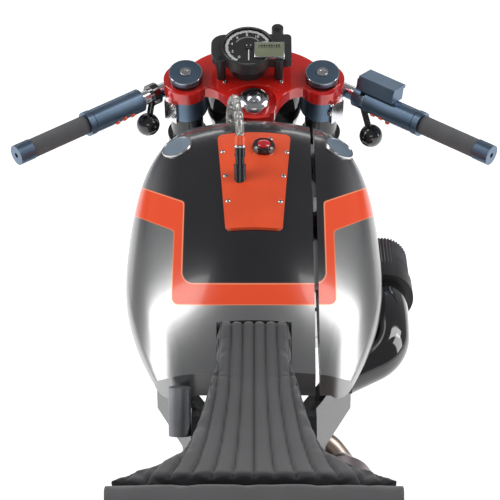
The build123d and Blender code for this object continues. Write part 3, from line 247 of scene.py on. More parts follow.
print("node helpers ready")

# %% [markdown]
# Cast and painted faces drift between two tones, with a fine grain over them. Two
# noises, one forty times finer than the other, give both the colour and the shine.

# %% Group: cloudy grain
FLOAT, COLOUR = "NodeSocketFloat", "NodeSocketColor"
TIMES_FINER = 40.0
PATCH_CONTRAST, PATCH_SHIFT = 2.4, -0.75
cloudy, taken, given = new_group(
    "cloudy_grain",
    (("Colour", COLOUR, (0.5, 0.5, 0.5, 1)), ("Shade", COLOUR, (0.3, 0.3, 0.3, 1)),
     ("Scale", FLOAT, 12.0), ("Smooth", FLOAT, 0.3), ("Rough", FLOAT, 0.5)),
    (("Colour", COLOUR), ("Roughness", FLOAT), ("Height", FLOAT)))
patches = noise(cloudy, taken["Scale"])
fine = noise(cloudy, calc(cloudy, "MULTIPLY", taken["Scale"], TIMES_FINER), 4.0)
patch_mask = calc(cloudy, "MULTIPLY_ADD", patches, PATCH_CONTRAST, PATCH_SHIFT, clamp=True)
drift = blend_colours(cloudy, patch_mask, taken["Colour"], taken["Shade"])
cloudy.links.new(drift, given["Colour"])
spread = calc(cloudy, "SUBTRACT", taken["Rough"], taken["Smooth"])
mixed = calc(cloudy, "MULTIPLY", calc(cloudy, "ADD", patches, fine), 0.5)
roughness = calc(cloudy, "MULTIPLY_ADD", mixed, spread, taken["Smooth"])
cloudy.links.new(roughness, given["Roughness"])
cloudy.links.new(fine, given["Height"])
print("group", cloudy.name)

# %% [markdown]
# Brushed metal carries strokes along one direction: a noise that is drawn out
# along the machine. Dust lies only where a face looks up, so the face's own normal
# is its mask.

# %% Group: brushing in one direction
STROKE_STRETCH = (1, 0.04, 1)
brushed, taken, given = new_group("brushing", (("Scale", FLOAT, 60.0),), (("Height", FLOAT),))
brushed.links.new(noise(brushed, taken["Scale"], 2.0, STROKE_STRETCH), given["Height"])
print("group", brushed.name)

# %% Group: dust on upward faces
DUST_SCALE = 9.0
dusty, taken, given = new_group("dust", (("Amount", FLOAT, 0.1),), (("Mask", FLOAT),))
facing = dusty.nodes.new("ShaderNodeSeparateXYZ")
face_normal = dusty.nodes.new("ShaderNodeNewGeometry").outputs["Normal"]
dusty.links.new(face_normal, facing.inputs[0])
upward = calc(dusty, "MAXIMUM", facing.outputs[2], 0.0)
settled = calc(dusty, "MULTIPLY", upward, noise(dusty, DUST_SCALE, 6.0))
dusty.links.new(calc(dusty, "MULTIPLY", settled, taken["Amount"], clamp=True), given["Mask"])
print("group", dusty.name)

# %% [markdown]
# ## The house finishes
# One function makes a finish from a row of a table: two colours that drift into
# each other, the range of roughness, how deep the grain is, and a clear coat where
# there is lacquer. Special finishes are then changed one by one below.

# %% A finish from a table
DUST_TINT = (0.42, 0.41, 0.39)
COAT_ROUGHNESS, GRAIN_STRENGTH = 0.05, 0.35
materials = {}


def place_group(tree, group, **values):
    node = tree.nodes.new("ShaderNodeGroup")
    node.node_tree = group
    for label, value in values.items():
        node.inputs[label].default_value = value
    return node


def blank_material(name):
    material = bpy.data.materials.new(name)
    material.use_nodes = True
    tree = material.node_tree
    return material, tree, tree.nodes["Principled BSDF"]


def finish(name, colour, shade, metallic, rough, scale, depth, coat=0.0, dust=0.02):
    material, tree, shader = blank_material(name)
    grain = place_group(tree, cloudy, Colour=(*colour, 1), Shade=(*shade, 1), Scale=scale,
                        Smooth=rough[0], Rough=rough[1])
    film = place_group(tree, dusty, Amount=dust)
    tint = blend_colours(tree, film.outputs["Mask"], grain.outputs["Colour"], DUST_TINT)
    tree.links.new(tint, shader.inputs["Base Color"])
    tree.links.new(grain.outputs["Roughness"], shader.inputs["Roughness"])
    shader.inputs["Metallic"].default_value = metallic
    shader.inputs["Coat Weight"].default_value = coat
    shader.inputs["Coat Roughness"].default_value = COAT_ROUGHNESS
    bumps = bump(tree, grain.outputs["Height"], depth, GRAIN_STRENGTH)
    bumps.name = "grain_bump"
    tree.links.new(bumps.outputs[0], shader.inputs["Normal"])
    materials[name] = material


FINISHES = (
    # name, colour, shade, metallic, (smooth, rough), scale, depth of grain, coat
    ("tyre", (0.022, 0.022, 0.023), (0.035, 0.034, 0.033), 0.0, (0.55, 0.8), 14, 0.0004, 0.0),
    ("dark_wheel", (0.012, 0.012, 0.014), (0.022, 0.022, 0.025),
     0.3, (0.25, 0.4), 20, 0.0001, 0.4),
    ("disc_steel", (0.52, 0.52, 0.53), (0.40, 0.40, 0.42), 1.0, (0.22, 0.4), 30, 0.0001, 0.0),
    ("red_clamp", (0.82, 0.022, 0.012), (0.68, 0.012, 0.010),
     0.15, (0.16, 0.3), 18, 0.00003, 1.0),
    ("dark_metal", (0.010, 0.011, 0.013), (0.020, 0.021, 0.025),
     0.4, (0.18, 0.34), 16, 0.0001, 0.5),
    ("blue_anodised", (0.11, 0.165, 0.235), (0.15, 0.21, 0.29),
     0.9, (0.28, 0.42), 22, 0.00008, 0.0),
    ("bright_steel", (0.72, 0.72, 0.74), (0.60, 0.61, 0.63), 1.0, (0.08, 0.2), 25, 0.00003, 0.0),
    ("grip_foam", (0.085, 0.087, 0.092), (0.115, 0.116, 0.12),
     0.0, (0.75, 0.95), 30, 0.0006, 0.0),
    ("black_plastic", (0.012, 0.012, 0.013), (0.022, 0.022, 0.024),
     0.0, (0.35, 0.55), 24, 0.00025, 0.0),
    ("lamp_gloss", (0.004, 0.004, 0.005), (0.008, 0.008, 0.010),
     0.0, (0.06, 0.12), 16, 0.00001, 1.0),
    ("polished_aluminium", (0.50, 0.50, 0.50), (0.40, 0.40, 0.41),
     1.0, (0.2, 0.34), 9, 0.00006, 0.3),
    ("cast_aluminium", (0.255, 0.26, 0.275), (0.18, 0.185, 0.20),
     0.85, (0.38, 0.6), 20, 0.0004, 0.0),
    ("orange_plate", (0.86, 0.085, 0.015), (0.74, 0.065, 0.010),
     0.0, (0.25, 0.4), 16, 0.00008, 0.5),
    ("button_red", (0.60, 0.005, 0.012), (0.42, 0.003, 0.008),
     0.0, (0.12, 0.2), 40, 0.00002, 1.0),
    ("seat_suede", (0.028, 0.028, 0.031), (0.045, 0.045, 0.049),
     0.0, (0.8, 1.0), 10, 0.0005, 0.0),
    ("titanium", (0.42, 0.34, 0.28), (0.36, 0.30, 0.33), 1.0, (0.28, 0.42), 8, 0.0001, 0.0),
    ("filter_mesh", (0.10, 0.105, 0.115), (0.15, 0.155, 0.165),
     0.2, (0.55, 0.8), 40, 0.0006, 0.0),
    ("tail_red", (0.40, 0.006, 0.008), (0.28, 0.004, 0.006), 0.0, (0.08, 0.16), 30, 0.00002, 1.0),
    ("chain_steel", (0.20, 0.19, 0.175), (0.10, 0.095, 0.088), 1.0, (0.3, 0.55), 40, 0.0002, 0.0),
    ("braid", (0.62, 0.61, 0.58), (0.40, 0.40, 0.39), 1.0, (0.25, 0.4), 60, 0.0003, 0.0),
    ("screw_steel", (0.70, 0.70, 0.70), (0.50, 0.50, 0.51), 1.0, (0.15, 0.3), 60, 0.00005, 0.0),
    ("dial_black", (0.004, 0.004, 0.005), (0.007, 0.007, 0.008),
     0.0, (0.5, 0.7), 30, 0.00004, 0.0),
    ("dial_white", (0.75, 0.75, 0.74), (0.66, 0.66, 0.66), 0.0, (0.4, 0.5), 30, 0.00002, 0.0),
    ("dial_glass_green", (0.16, 0.175, 0.11), (0.20, 0.215, 0.145),
     0.0, (0.12, 0.2), 30, 0.00002, 0.8),
    ("painted_recess_shade", (0.004, 0.004, 0.004), (0.008, 0.008, 0.008),
     0.0, (0.6, 0.8), 30, 0.00005, 0.0),
    ("button_orange", (0.90, 0.10, 0.02), (0.75, 0.08, 0.015), 0.0, (0.3, 0.4), 40, 0.00004, 0.4),
    ("insert_blue", (0.30, 0.38, 0.47), (0.24, 0.31, 0.39), 0.6, (0.3, 0.45), 30, 0.00008, 0.3),
)
for row in FINISHES:
    finish(*row)
print("finishes:", len(materials))

# %% [markdown]
# The floor is the one plain thing in the picture, yet even paper has a faint tooth.

# %% Floor
FLOOR_REACH, FLOOR_GLOW = 14, 0.62
finish("floor_paper", (0.88, 0.88, 0.88), (0.865, 0.865, 0.87), 0.0, (0.7, 0.9), 2, 0.0001,
       coat=0.0, dust=0.0)
sheet = bmesh.new()
bmesh.ops.create_grid(sheet, x_segments=4, y_segments=4, size=FLOOR_REACH)
floor_mesh = bpy.data.meshes.new("floor")
sheet.to_mesh(floor_mesh)
sheet.free()
floor_mesh.materials.append(materials["floor_paper"])
glow = materials["floor_paper"].node_tree.nodes["Principled BSDF"].inputs
glow["Emission Color"].default_value = (1, 1, 1, 1)
glow["Emission Strength"].default_value = FLOOR_GLOW
floor = bpy.data.objects.new("floor", floor_mesh)
scene.collection.objects.link(floor)
print("floor laid")

# %% [markdown]
# ## Dressing the CAD nodes
# Each CAD node names the slot of its finish, so one loop dresses them all.

# %% Finishes onto the CAD nodes
def paint(name, material):
    coats = nodes[name].data.materials
    for index in range(len(coats)):
        coats[index] = material


for part in nodes.values():
    for index, slot in enumerate(part.data.materials):
        part.data.materials[index] = materials[slot.name.split(".")[0]]
print("nodes dressed:", len(nodes))

# %% [markdown]
# ## Tank paint
# The tank is bare brushed metal below and black lacquer on top, parted by an orange
# band that runs as a U and flares over both shoulders. It could be separate decals,
# but paint lies in the surface, so a mask drawn with the tank's own coordinates
# mixes three finishes in one material. The lines are planes through the tank, found
# where the photograph shows the band's edges.

# %% Where the band's edges lie
BAND_INNER, BAND_OUTER = 99.0, 113.0
FLOOR_PIXELS = ((250, 283), (250, 305))
UPPER_PIXELS = ((183, 201), (147, 189.0))
LOWER_PIXELS = ((172, 230), (147, 220.7))


def height_in_picture(spot):
    return PER_METRE * (spot.y * math.sin(ELEVATION) + spot.z * math.cos(ELEVATION))


def edge_line(first, second):
    a, _ = seen(tank_skin, *first)
    b, _ = seen(tank_skin, *second)
    ua, ub = abs(a.x) * PER_METRE, abs(b.x) * PER_METRE
    slope = (height_in_picture(b) - height_in_picture(a)) / (ub - ua)
    return height_in_picture(a) - slope * ua, slope


floor_in, floor_out = (height_in_picture(seen(tank_skin, *pixel)[0]) for pixel in FLOOR_PIXELS)
upper, lower = edge_line(*UPPER_PIXELS), edge_line(*LOWER_PIXELS)
print("band:", round(floor_in), round(floor_out), upper, lower)

# %% [markdown]
# Each edge of the band is a distance in millimetres: to a box with round corners
# for the U, joined smoothly to a straight line for the shoulder. A narrow step at
# distance nought turns it into a mask, so both edges stay crisp at any size.

# %% Distances to the band's edges
EDGE_BLUR, LINE_HALF, LINE_INSET = 0.6, 0.7, 1.2
SHOULDER_BLEND, INNER_ROUND, OUTER_ROUND = 6.0, 15.0, 9.0


def corner(tree, across, below, radius):
    qa = calc(tree, "ADD", across, radius)
    qb = calc(tree, "ADD", below, radius)
    reach = distance(tree, calc(tree, "MAXIMUM", qa, 0.0), calc(tree, "MAXIMUM", qb, 0.0))
    inside = calc(tree, "MINIMUM", calc(tree, "MAXIMUM", qa, qb), 0.0)
    return calc(tree, "SUBTRACT", calc(tree, "ADD", reach, inside), radius)


def edge_of(tree, u, w, half, floor_w, line, radius):
    across = calc(tree, "SUBTRACT", u, half)
    box = corner(tree, across, calc(tree, "SUBTRACT", floor_w, w), radius)
    arm = calc(tree, "SUBTRACT", calc(tree, "MULTIPLY_ADD", u, line[1], line[0]), w)
    return calc(tree, "SMOOTH_MIN", box, arm, SHOULDER_BLEND)


def step(tree, gap):
    return calc(tree, "SUBTRACT", 0.5, calc(tree, "DIVIDE", gap, EDGE_BLUR), clamp=True)


def thin_line(tree, gap):
    return step(tree, calc(tree, "SUBTRACT", calc(tree, "ABSOLUTE", gap), LINE_HALF))


band, _, given = new_group(
    "tank_band", (), (("Black", FLOAT), ("Orange", FLOAT), ("Line", FLOAT), ("Fade", FLOAT)))
x, y, z = object_axes(band)
u = calc(band, "MULTIPLY", calc(band, "ABSOLUTE", x), PER_METRE)
w = calc(band, "ADD", calc(band, "MULTIPLY", y, PER_METRE * math.sin(ELEVATION)),
         calc(band, "MULTIPLY", z, PER_METRE * math.cos(ELEVATION)))
inner = edge_of(band, u, w, BAND_INNER, floor_in, upper, INNER_ROUND)
outer = edge_of(band, u, w, BAND_OUTER, floor_out, lower, OUTER_ROUND)
print("distances ready")

# %% Group: the band's masks
# The last mask is a painted reflection: it turns the black lacquer grey towards the tank's front
# and its outer sides, where the soft boxes would be mirrored.
REFLECTION_FROM, REFLECTION_LENGTH = 0.292, 0.085
SIDE_REFLECTION_FROM, SIDE_REFLECTION_WIDTH, SIDE_REFLECTION_GREY = 108, 46, 0.8
black = step(band, inner)
band.links.new(black, given["Black"])
orange = calc(band, "SUBTRACT", step(band, outer), black, clamp=True)
band.links.new(orange, given["Orange"])
near_in = thin_line(band, calc(band, "ADD", inner, -LINE_INSET))
near_out = thin_line(band, outer)
band.links.new(calc(band, "MAXIMUM", near_in, near_out), given["Line"])
ahead = calc(band, "MULTIPLY_ADD", y, 1 / REFLECTION_LENGTH, -REFLECTION_FROM / REFLECTION_LENGTH, clamp=True)
aside = calc(band, "MULTIPLY_ADD", u, 1 / SIDE_REFLECTION_WIDTH, -SIDE_REFLECTION_FROM / SIDE_REFLECTION_WIDTH, clamp=True)
front_reflection = calc(band, "MULTIPLY", ahead, ahead)
side_reflection = calc(band, "MULTIPLY", aside, calc(band, "MULTIPLY", aside, SIDE_REFLECTION_GREY))
band.links.new(calc(band, "MAXIMUM", front_reflection, side_reflection), given["Fade"])
print("group", band.name)

# %% The tank's own material
BAND_ORANGE, BAND_EDGE = (0.90, 0.075, 0.012), (0.95, 0.35, 0.18)
LACQUER, LACQUER_REFLECTION_GREY = (0.0045, 0.0045, 0.0065), (0.20, 0.20, 0.205)
TANK_DUST, PAINT_ROUGHNESS = (0.5, 0.5, 0.5), 0.22
STROKE_DEPTH, STROKE_STRENGTH = 0.00005, 0.12
tank, tree, shader = blank_material("tank_paint")
masks = place_group(tree, band).outputs
metal = place_group(tree, cloudy, Colour=(0.44, 0.44, 0.435, 1), Shade=(0.33, 0.33, 0.335, 1),
                    Scale=5.0, Smooth=0.26, Rough=0.31).outputs
strokes = place_group(tree, brushed, Scale=900.0)
film = place_group(tree, dusty, Amount=0.03)
tint = blend_colours(tree, masks["Orange"], metal["Colour"], BAND_ORANGE)
# Painted reflection: grey is blended into the black lacquer by the last mask.
lacquer = blend_colours(tree, masks["Fade"], LACQUER, LACQUER_REFLECTION_GREY)
tint = blend_colours(tree, masks["Black"], tint, lacquer)
tint = blend_colours(tree, masks["Line"], tint, BAND_EDGE)
tint = blend_colours(tree, film.outputs["Mask"], tint, TANK_DUST)
tree.links.new(tint, shader.inputs["Base Color"])
covered = calc(tree, "ADD", masks["Orange"], masks["Black"])
bare = calc(tree, "SUBTRACT", 1.0, covered, clamp=True)
tree.links.new(bare, shader.inputs["Metallic"])
rougher = calc(tree, "SUBTRACT", metal["Roughness"], PAINT_ROUGHNESS)
shine = calc(tree, "ADD", calc(tree, "MULTIPLY", bare, rougher), PAINT_ROUGHNESS)
tree.links.new(shine, shader.inputs["Roughness"])
shader.inputs["Coat Weight"].default_value = 0.45
shader.inputs["Coat Roughness"].default_value = 0.08
bumps = bump(tree, strokes.outputs["Height"], STROKE_DEPTH, STROKE_STRENGTH)
tree.links.new(bumps.outputs[0], shader.inputs["Normal"])
for name in ("tank_main", "tank_side"):
    paint(name, tank)
print("tank painted")

# %% [markdown]
# ## How a piece is made
# Every small piece starts as a bmesh shape in millimetres, which the matrix of its
# place scales to metres. The last step merges doubles, turns faces outward, and
# lets the piece ride on the body that carries it. The bars have axes of their own,
# leaned back by the rake of the fork.

# %% Places and simple shapes
RAKE = math.radians(24)
STEER_FOOT = Vector((0, 415.972, 873.981))


def shifted(x=0.0, y=0.0, z=0.0):
    return Matrix.Translation((x, y, z))


def on_bars(x=0.0, out=0.0, up=0.0):
    ahead = Vector((0, math.cos(RAKE), math.sin(RAKE)))
    rise = Vector((0, -math.sin(RAKE), math.cos(RAKE)))
    axes = Matrix((Vector((1, 0, 0)), ahead, rise)).transposed().to_4x4()
    return Matrix.Scale(MM, 4) @ Matrix.Translation(STEER_FOOT) @ axes @ shifted(x, out, up)


def added(form, before):
    return [v for v in form.verts if v not in before]


def latest(form, before, place):
    bmesh.ops.transform(form, matrix=place, verts=added(form, before))


def ease(form, edges, offset, segments):
    bmesh.ops.bevel(form, geom=list(edges), offset=offset, segments=segments, profile=0.5,
                    affect="EDGES", material=-1)


def add_round(form, radius, height, place, segments, top=None, soft=0.0):
    before = set(form.verts)
    bmesh.ops.create_cone(form, cap_ends=True, segments=segments, radius1=radius,
                          radius2=radius if top is None else top, depth=height,
                          matrix=shifted(z=height / 2))
    if soft:
        rims = {e for v in added(form, before) for e in v.link_edges
                if abs(e.verts[0].co.z - e.verts[1].co.z) < 1e-5}
        ease(form, rims, soft, 3)
    latest(form, before, place)


def add_block(form, size, place, soft=0.0):
    before = set(form.verts)
    bmesh.ops.create_cube(form, size=1.0, matrix=Matrix.Diagonal((*size, 1)))
    if soft:
        ease(form, {e for v in added(form, before) for e in v.link_edges}, soft, 2)
    latest(form, before, place)


def add_spun(form, profile, place, steps=32):
    before = set(form.verts)
    ring = [form.verts.new((radius, 0, height)) for radius, height in profile]
    lines = [form.edges.new(pair) for pair in zip(ring, ring[1:])]
    bmesh.ops.spin(form, geom=ring + lines, cent=(0, 0, 0), axis=(0, 0, 1), angle=2 * math.pi,
                   steps=steps, use_merge=True, use_duplicate=False)
    latest(form, before, place)


print("bars' foot", tuple(round(c, 3) for c in on_bars().translation))

# %% From a shape to a finished piece
MERGE_WITHIN = 1e-6


def make(form, name, material, body, sharp=35):
    bmesh.ops.remove_doubles(form, verts=form.verts, dist=MERGE_WITHIN)
    bmesh.ops.recalc_face_normals(form, faces=form.faces)
    mesh = bpy.data.meshes.new(name)
    form.to_mesh(mesh)
    form.free()
    mesh.shade_smooth()
    mesh.set_sharp_from_angle(angle=math.radians(sharp))
    mesh.materials.append(materials[material])
    piece = bpy.data.objects.new(name, mesh)
    scene.collection.objects.link(piece)
    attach(piece, body)
    print(name, len(mesh.polygons), "faces")
    return piece


# %% [markdown]
# ## Screws of the hatch plate
# Nine pan-head screws with crossed slots hold the orange plate. One head is spun
# from its profile, and two dark bars in the top stand for the crossed slot as painted shade.

# %% Nine crossed screws
PLATE_SCREWS = ((270.4, 138.8), (222.7, 151.8), (225.5, 175.7), (227.9, 201.0), (233.7, 229.6),
                (273.7, 229.8), (280.6, 201.7), (283.7, 176.2), (286.9, 152.3))
PAN_HEAD = ((0, 1.9), (1.6, 1.8), (3.0, 1.2), (3.6, 0.3), (3.6, -0.5), (0, -0.5))
SLOT_BAR, SLOT_UP = (3.8, 0.8, 0.5), 1.75
heads, slots = bmesh.new(), bmesh.new()
for number, pixel in enumerate(PLATE_SCREWS):
    place = seat_on(*seen(plate_skin, *pixel), turn=0.5 * number)
    add_spun(heads, PAN_HEAD, place, 20)
    # Painted shade: two dark bars lie where the slot's cut would be in shadow.
    for turn in (0, math.pi / 2):
        bar_place = place @ shifted(z=SLOT_UP) @ Matrix.Rotation(turn, 4, "Z")
        add_block(slots, SLOT_BAR, bar_place)
make(heads, "plate_screw_heads", "screw_steel", "chassis")
make(slots, "plate_screw_slots", "painted_recess_shade", "chassis")

# %% [markdown]
# ## Seat and tail pad
# The seat is foam under dark suede, sewn in channels that run front to back. A hard
# CAD block would show. The block is copied, made a little smaller, and blown up as
# cloth with its underside pinned and its cover let out by a few hundredths, so its
# sides swell as a real cover does. The channels are pressed in afterwards, because
# remeshing would wipe them out.

# %% A padded copy of a CAD block
COVER_MESH, COVER_GAP = 0.005, 0.0015
LOOKS_DOWN = -0.4
PRESSURE, LET_OUT, SWELL_FRAMES, SWELL_MOST = 4.0, -0.04, 20, 0.004


def settled_mesh(piece):
    graph = bpy.context.evaluated_depsgraph_get()
    graph.update()
    return bpy.data.meshes.new_from_object(piece.evaluated_get(graph))


def swap_mesh(piece, mesh):
    piece.modifiers.clear()
    piece.data = mesh


def swell(pad, normals):
    start = [v.co.copy() for v in pad.data.vertices]
    held = pad.vertex_groups.new(name="underside")
    held.add([i for i, n in enumerate(normals) if n.z < LOOKS_DOWN], 1.0, "REPLACE")
    cloth = pad.modifiers.new("swell", "CLOTH").settings
    cloth.quality = 5
    cloth.vertex_group_mass = "underside"
    cloth.use_pressure = True
    cloth.uniform_pressure_force = PRESSURE
    cloth.effector_weights.gravity = 0.0
    cloth.shrink_min = LET_OUT
    for number in range(1, SWELL_FRAMES + 1):
        scene.frame_set(number)
    swap_mesh(pad, settled_mesh(pad))
    scene.frame_set(1)
    for v, before in zip(pad.data.vertices, start):
        move = v.co - before
        if move.length > SWELL_MOST:
            v.co = before + move.normalized() * SWELL_MOST


def padded_copy(node, name):
    form = bmesh.new()
    form.from_mesh(nodes[node].data)
    bmesh.ops.remove_doubles(form, verts=form.verts, dist=1e-5)
    mesh = bpy.data.meshes.new(name)
    form.to_mesh(mesh)
    form.free()
    pad = bpy.data.objects.new(name, mesh)
    scene.collection.objects.link(pad)
    remesh = pad.modifiers.new("even_mesh", "REMESH")
    remesh.mode = "VOXEL"
    remesh.voxel_size = COVER_MESH
    swap_mesh(pad, settled_mesh(pad))
    normals = [v.normal.copy() for v in pad.data.vertices]
    for v, n in zip(pad.data.vertices, normals):
        v.co -= n * COVER_GAP
    swell(pad, normals)
    finer = pad.modifiers.new("finer", "SUBSURF")
    finer.levels = finer.render_levels = 1
    swap_mesh(pad, settled_mesh(pad))
    print(name, len(pad.data.vertices), "points")
    return pad


seat = padded_copy("seat", "seat_cover")
tail = padded_copy("tail_pad", "tail_pad_cover")

# %% Sewn channels
CHANNEL_PITCH = ((-488, 29.0), (-403, 26.0), (-365, 23.0), (-300, 20.0), (-190, 16.5), (-25, 15.0))
SEAM_DEPTH, SEAM_WIDTH, PUFF, SINK = 3.2, 1.9, 1.6, 0.4
SIDE_SLOPE, SLOPE_FADE = 0.45, 0.3


def between(table, y):
    for (y0, a), (y1, b) in zip(table, table[1:]):
        if y <= y1:
            return a + (b - a) * max(0.0, (y - y0) / (y1 - y0))
    return table[-1][1]

def sew(piece):
    normals = [v.normal.copy() for v in piece.data.vertices]
    for v, n in zip(piece.data.vertices, normals):
        x, y = v.co.x * PER_METRE, v.co.y * PER_METRE
        fade = min(1.0, max(0.0, (n.z - SIDE_SLOPE) / SLOPE_FADE))
        pitch = between(CHANNEL_PITCH, y)
        off = abs(x / pitch - round(x / pitch))
        puff = PUFF * (1 - (1 - 2 * off) ** 2)
        lift = puff - SEAM_DEPTH * math.exp(-(off * pitch / SEAM_WIDTH) ** 2)
        v.co += n * (fade * (lift - SINK) / PER_METRE)


sew(seat)
for piece, node in ((seat, "seat"), (tail, "tail_pad")):
    piece.data.shade_smooth()
    piece.data.materials.clear()
    piece.data.materials.append(materials["seat_suede"])
    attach(piece, "chassis")
    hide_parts(node)
print("channels sewn")

# %% [markdown]
# Suede looks soft because its short nap catches light at the edge of the form. Sheen
# does that, with most of the mirror-like shine taken out.

# %% Suede gets its nap
suede = materials["seat_suede"].node_tree
nap = suede.nodes["Principled BSDF"].inputs
nap["Sheen Weight"].default_value = 0.35
nap["Sheen Roughness"].default_value = 0.6
nap["Specular IOR Level"].default_value = 0.15
print("suede has nap")

# %% [markdown]
# Piping, a thin welted cord, closes the cover along its edge. It is bent along the
# seat's outline and dropped onto the sewn cover.

# %% Piping along the seat's edge
SEAT_EDGE = ((-27, 46.0), (-60, 47.0), (-100, 47.5), (-145, 52.0), (-190, 61.0), (-240, 71.0),
             (-295, 83.0), (-335, 101.0), (-365, 121.0), (-388, 148.0), (-400, 172.0))
PIPING_R, PIPING_UP, OVER_SEAT = 0.0022, 0.0006, 1.2


def cover_tree(piece):
    mesh = piece.data
    return BVHTree.FromPolygons([v.co for v in mesh.vertices], [p.vertices for p in mesh.polygons])


def bent(name, points, radius, roundness, fineness=12):
    line = bpy.data.curves.new(name, "CURVE")
    line.dimensions = "3D"
    line.bevel_depth = radius
    line.bevel_resolution = roundness
    line.resolution_u = fineness
    run = line.splines.new("NURBS")
    run.points.add(len(points) - 1)
    for knot, place in zip(run.points, points):
        knot.co = (*place, 1)
    run.order_u = 3
    run.use_endpoint_u = True
    piece = bpy.data.objects.new(name, line)
    scene.collection.objects.link(piece)
    return piece


def form_of(draft):
    form = bmesh.new()
    form.from_mesh(settled_mesh(draft))
    bpy.data.objects.remove(draft)
    return form


def tube(name, points, radius, material, body):
    draft = bent(name, points, radius, 3)
    draft.data.use_fill_caps = True
    make(form_of(draft), name, material, body)


seat_top = cover_tree(seat)
for side, label in ((-1, "left"), (1, "right")):
    edge = []
    for y, x in SEAT_EDGE:
        over = Vector((side * x / PER_METRE, y / PER_METRE, OVER_SEAT))
        hit = seat_top.ray_cast(over, DOWN)[0]
        if hit:
            edge.append(hit + Vector((0, 0, PIPING_UP)))
    tube("seat_piping_" + label, edge, PIPING_R, "seat_suede", "chassis")

# %% [markdown]
# ## Dial
# A single round counter with an oblong window beside it sits over the clamp. Its
# marks are real raised pieces, because flat paint would vanish in a small picture.

# %% Dial face, marks and needle
DIAL_X, DIAL_OUT, DIAL_UP, DIAL_R = -9.0, 66.0, 44.2, 36.4
ZERO_TURN, MARKS, MARK_TURN = 238, 61, 3.6
INNER_TURN, INNER_MARKS, INNER_STEP, INNER_R = 150, 26, 4.4, 20.5


def on_dial(degrees, reach):
    turn = Matrix.Rotation(math.radians(degrees), 4, "Z")
    return on_bars(DIAL_X, DIAL_OUT, DIAL_UP + 0.9) @ turn @ shifted(x=reach)


face = bmesh.new()
add_round(face, DIAL_R, 0.8, on_bars(DIAL_X, DIAL_OUT, DIAL_UP), 64)
make(face, "dial_face", "dial_black", "front_end")
marks = bmesh.new()
for count in range(MARKS):
    reach = 32.6 if count % 5 else 31.6
    add_block(marks, (4.2, 1.25, 0.4), on_dial(ZERO_TURN - count * MARK_TURN, reach))
for count in range(INNER_MARKS):
    add_block(marks, (1.6, 0.5, 0.3), on_dial(INNER_TURN - count * INNER_STEP, INNER_R))
make(marks, "dial_marks", "dial_white", "front_end")
needle = bmesh.new()
hub = on_bars(DIAL_X + 1, DIAL_OUT - 2, DIAL_UP + 1.2)
add_block(needle, (1.7, 24.0, 0.6), hub @ shifted(y=-14), 0.2)
for lean in (-0.5, 0.5):
    tail_place = hub @ Matrix.Rotation(lean, 4, "Z") @ shifted(y=4.5)
    add_block(needle, (1.1, 6.0, 0.6), tail_place, 0.2)
make(needle, "dial_needle", "dial_white", "front_end")
hub_cap = bmesh.new()
add_round(hub_cap, 4.2, 2.2, hub, 32, 3.6, 0.3)
make(hub_cap, "dial_hub", "black_plastic", "front_end")

# %% [markdown]
# The numbers are Blender's own text, turned into a thin raised mesh. They run from 0
# to 12 with the marks, every second one written.

# %% Dial numbers
NUMBER_TURN, NUMBER_R, NUMBER_SIZE, NUMBER_DEPTH = 18.0, 25.3, 7.0, 0.15
for value in range(0, 13, 2):
    turn = math.radians(ZERO_TURN - value * NUMBER_TURN)
    letters = bpy.data.curves.new("number", "FONT")
    letters.body = str(value)
    letters.size = NUMBER_SIZE
    letters.align_x, letters.align_y = "CENTER", "CENTER"
    letters.extrude = NUMBER_DEPTH
    draft = bpy.data.objects.new("number", letters)
    scene.collection.objects.link(draft)
    form = form_of(draft)
    place = on_bars(DIAL_X + NUMBER_R * math.cos(turn), DIAL_OUT + NUMBER_R * math.sin(turn),
                    DIAL_UP + 1.0)
    bmesh.ops.transform(form, matrix=place, verts=form.verts)
    make(form, "dial_number_" + str(value), "dial_white", "front_end")

# %% [markdown]
# The window is a grey-green glass in a bright frame. Plain dashes and one long bar
# stand for what it would show.

# %% Window beside the dial
WINDOW_X, WINDOW_OUT, WINDOW_UP = 23.4, 57.5, 48.6
WINDOW_WIDE, WINDOW_TALL, FRAME_DEEP, FRAME_LIP = 46.0, 32.0, 6.4, 2.6
DASHES, DASH_PITCH = 9, 3.7
surround = bmesh.new()
add_block(surround, (WINDOW_WIDE, WINDOW_TALL, FRAME_DEEP),
          on_bars(WINDOW_X, WINDOW_OUT, WINDOW_UP - FRAME_DEEP / 2), 0.8)
make(surround, "window_frame", "screw_steel", "front_end")
glass = bmesh.new()
add_block(glass, (WINDOW_WIDE - FRAME_LIP, WINDOW_TALL - FRAME_LIP, 0.6),
          on_bars(WINDOW_X, WINDOW_OUT, WINDOW_UP), 0.2)
make(glass, "window_glass", "dial_glass_green", "front_end")
dashes = bmesh.new()
for column in range(DASHES):
    place = on_bars(WINDOW_X - 15 + column * DASH_PITCH, WINDOW_OUT + 7.5, WINDOW_UP + 0.4)
    add_block(dashes, (2.4, 4.6 if column % 3 else 2.4, 0.2), place)
add_block(dashes, (34, 0.7, 0.2), on_bars(WINDOW_X, WINDOW_OUT + 3.0, WINDOW_UP + 0.4))
make(dashes, "window_segments", "dial_black", "front_end")

# %% [markdown]
# ## Bolts
# Socket bolts hold the clip-ons, the clamp and the gauge. One spun profile with a
# sunk middle serves them all; only the radius and the height change.

# %% Bolts on what carries them
FORK_X, FORK_OUT, CAP_RECESS_UP = 104, 42, 15


def add_bolt(form, place, radius, height):
    add_spun(form, ((0, height * 0.4), (radius * 0.45, height * 0.4), (radius * 0.5, height),
                    (radius * 0.85, height), (radius, height * 0.8), (radius, -0.6),
                    (0, -0.6)), place, 24)


def places_on(tree, pixels):
    places = []
    for pixel in pixels:
        hit, normal = seen(tree, *pixel)
        if hit is None:
            print("no surface under", pixel)
        else:
            places.append(seat_on(hit, normal))
    return places


def bolts(name, node, pixels, radius, height, material="screw_steel"):
    form = bmesh.new()
    for place in places_on(skin(node), pixels):
        add_bolt(form, place, radius, height)
    make(form, name, material, "front_end")


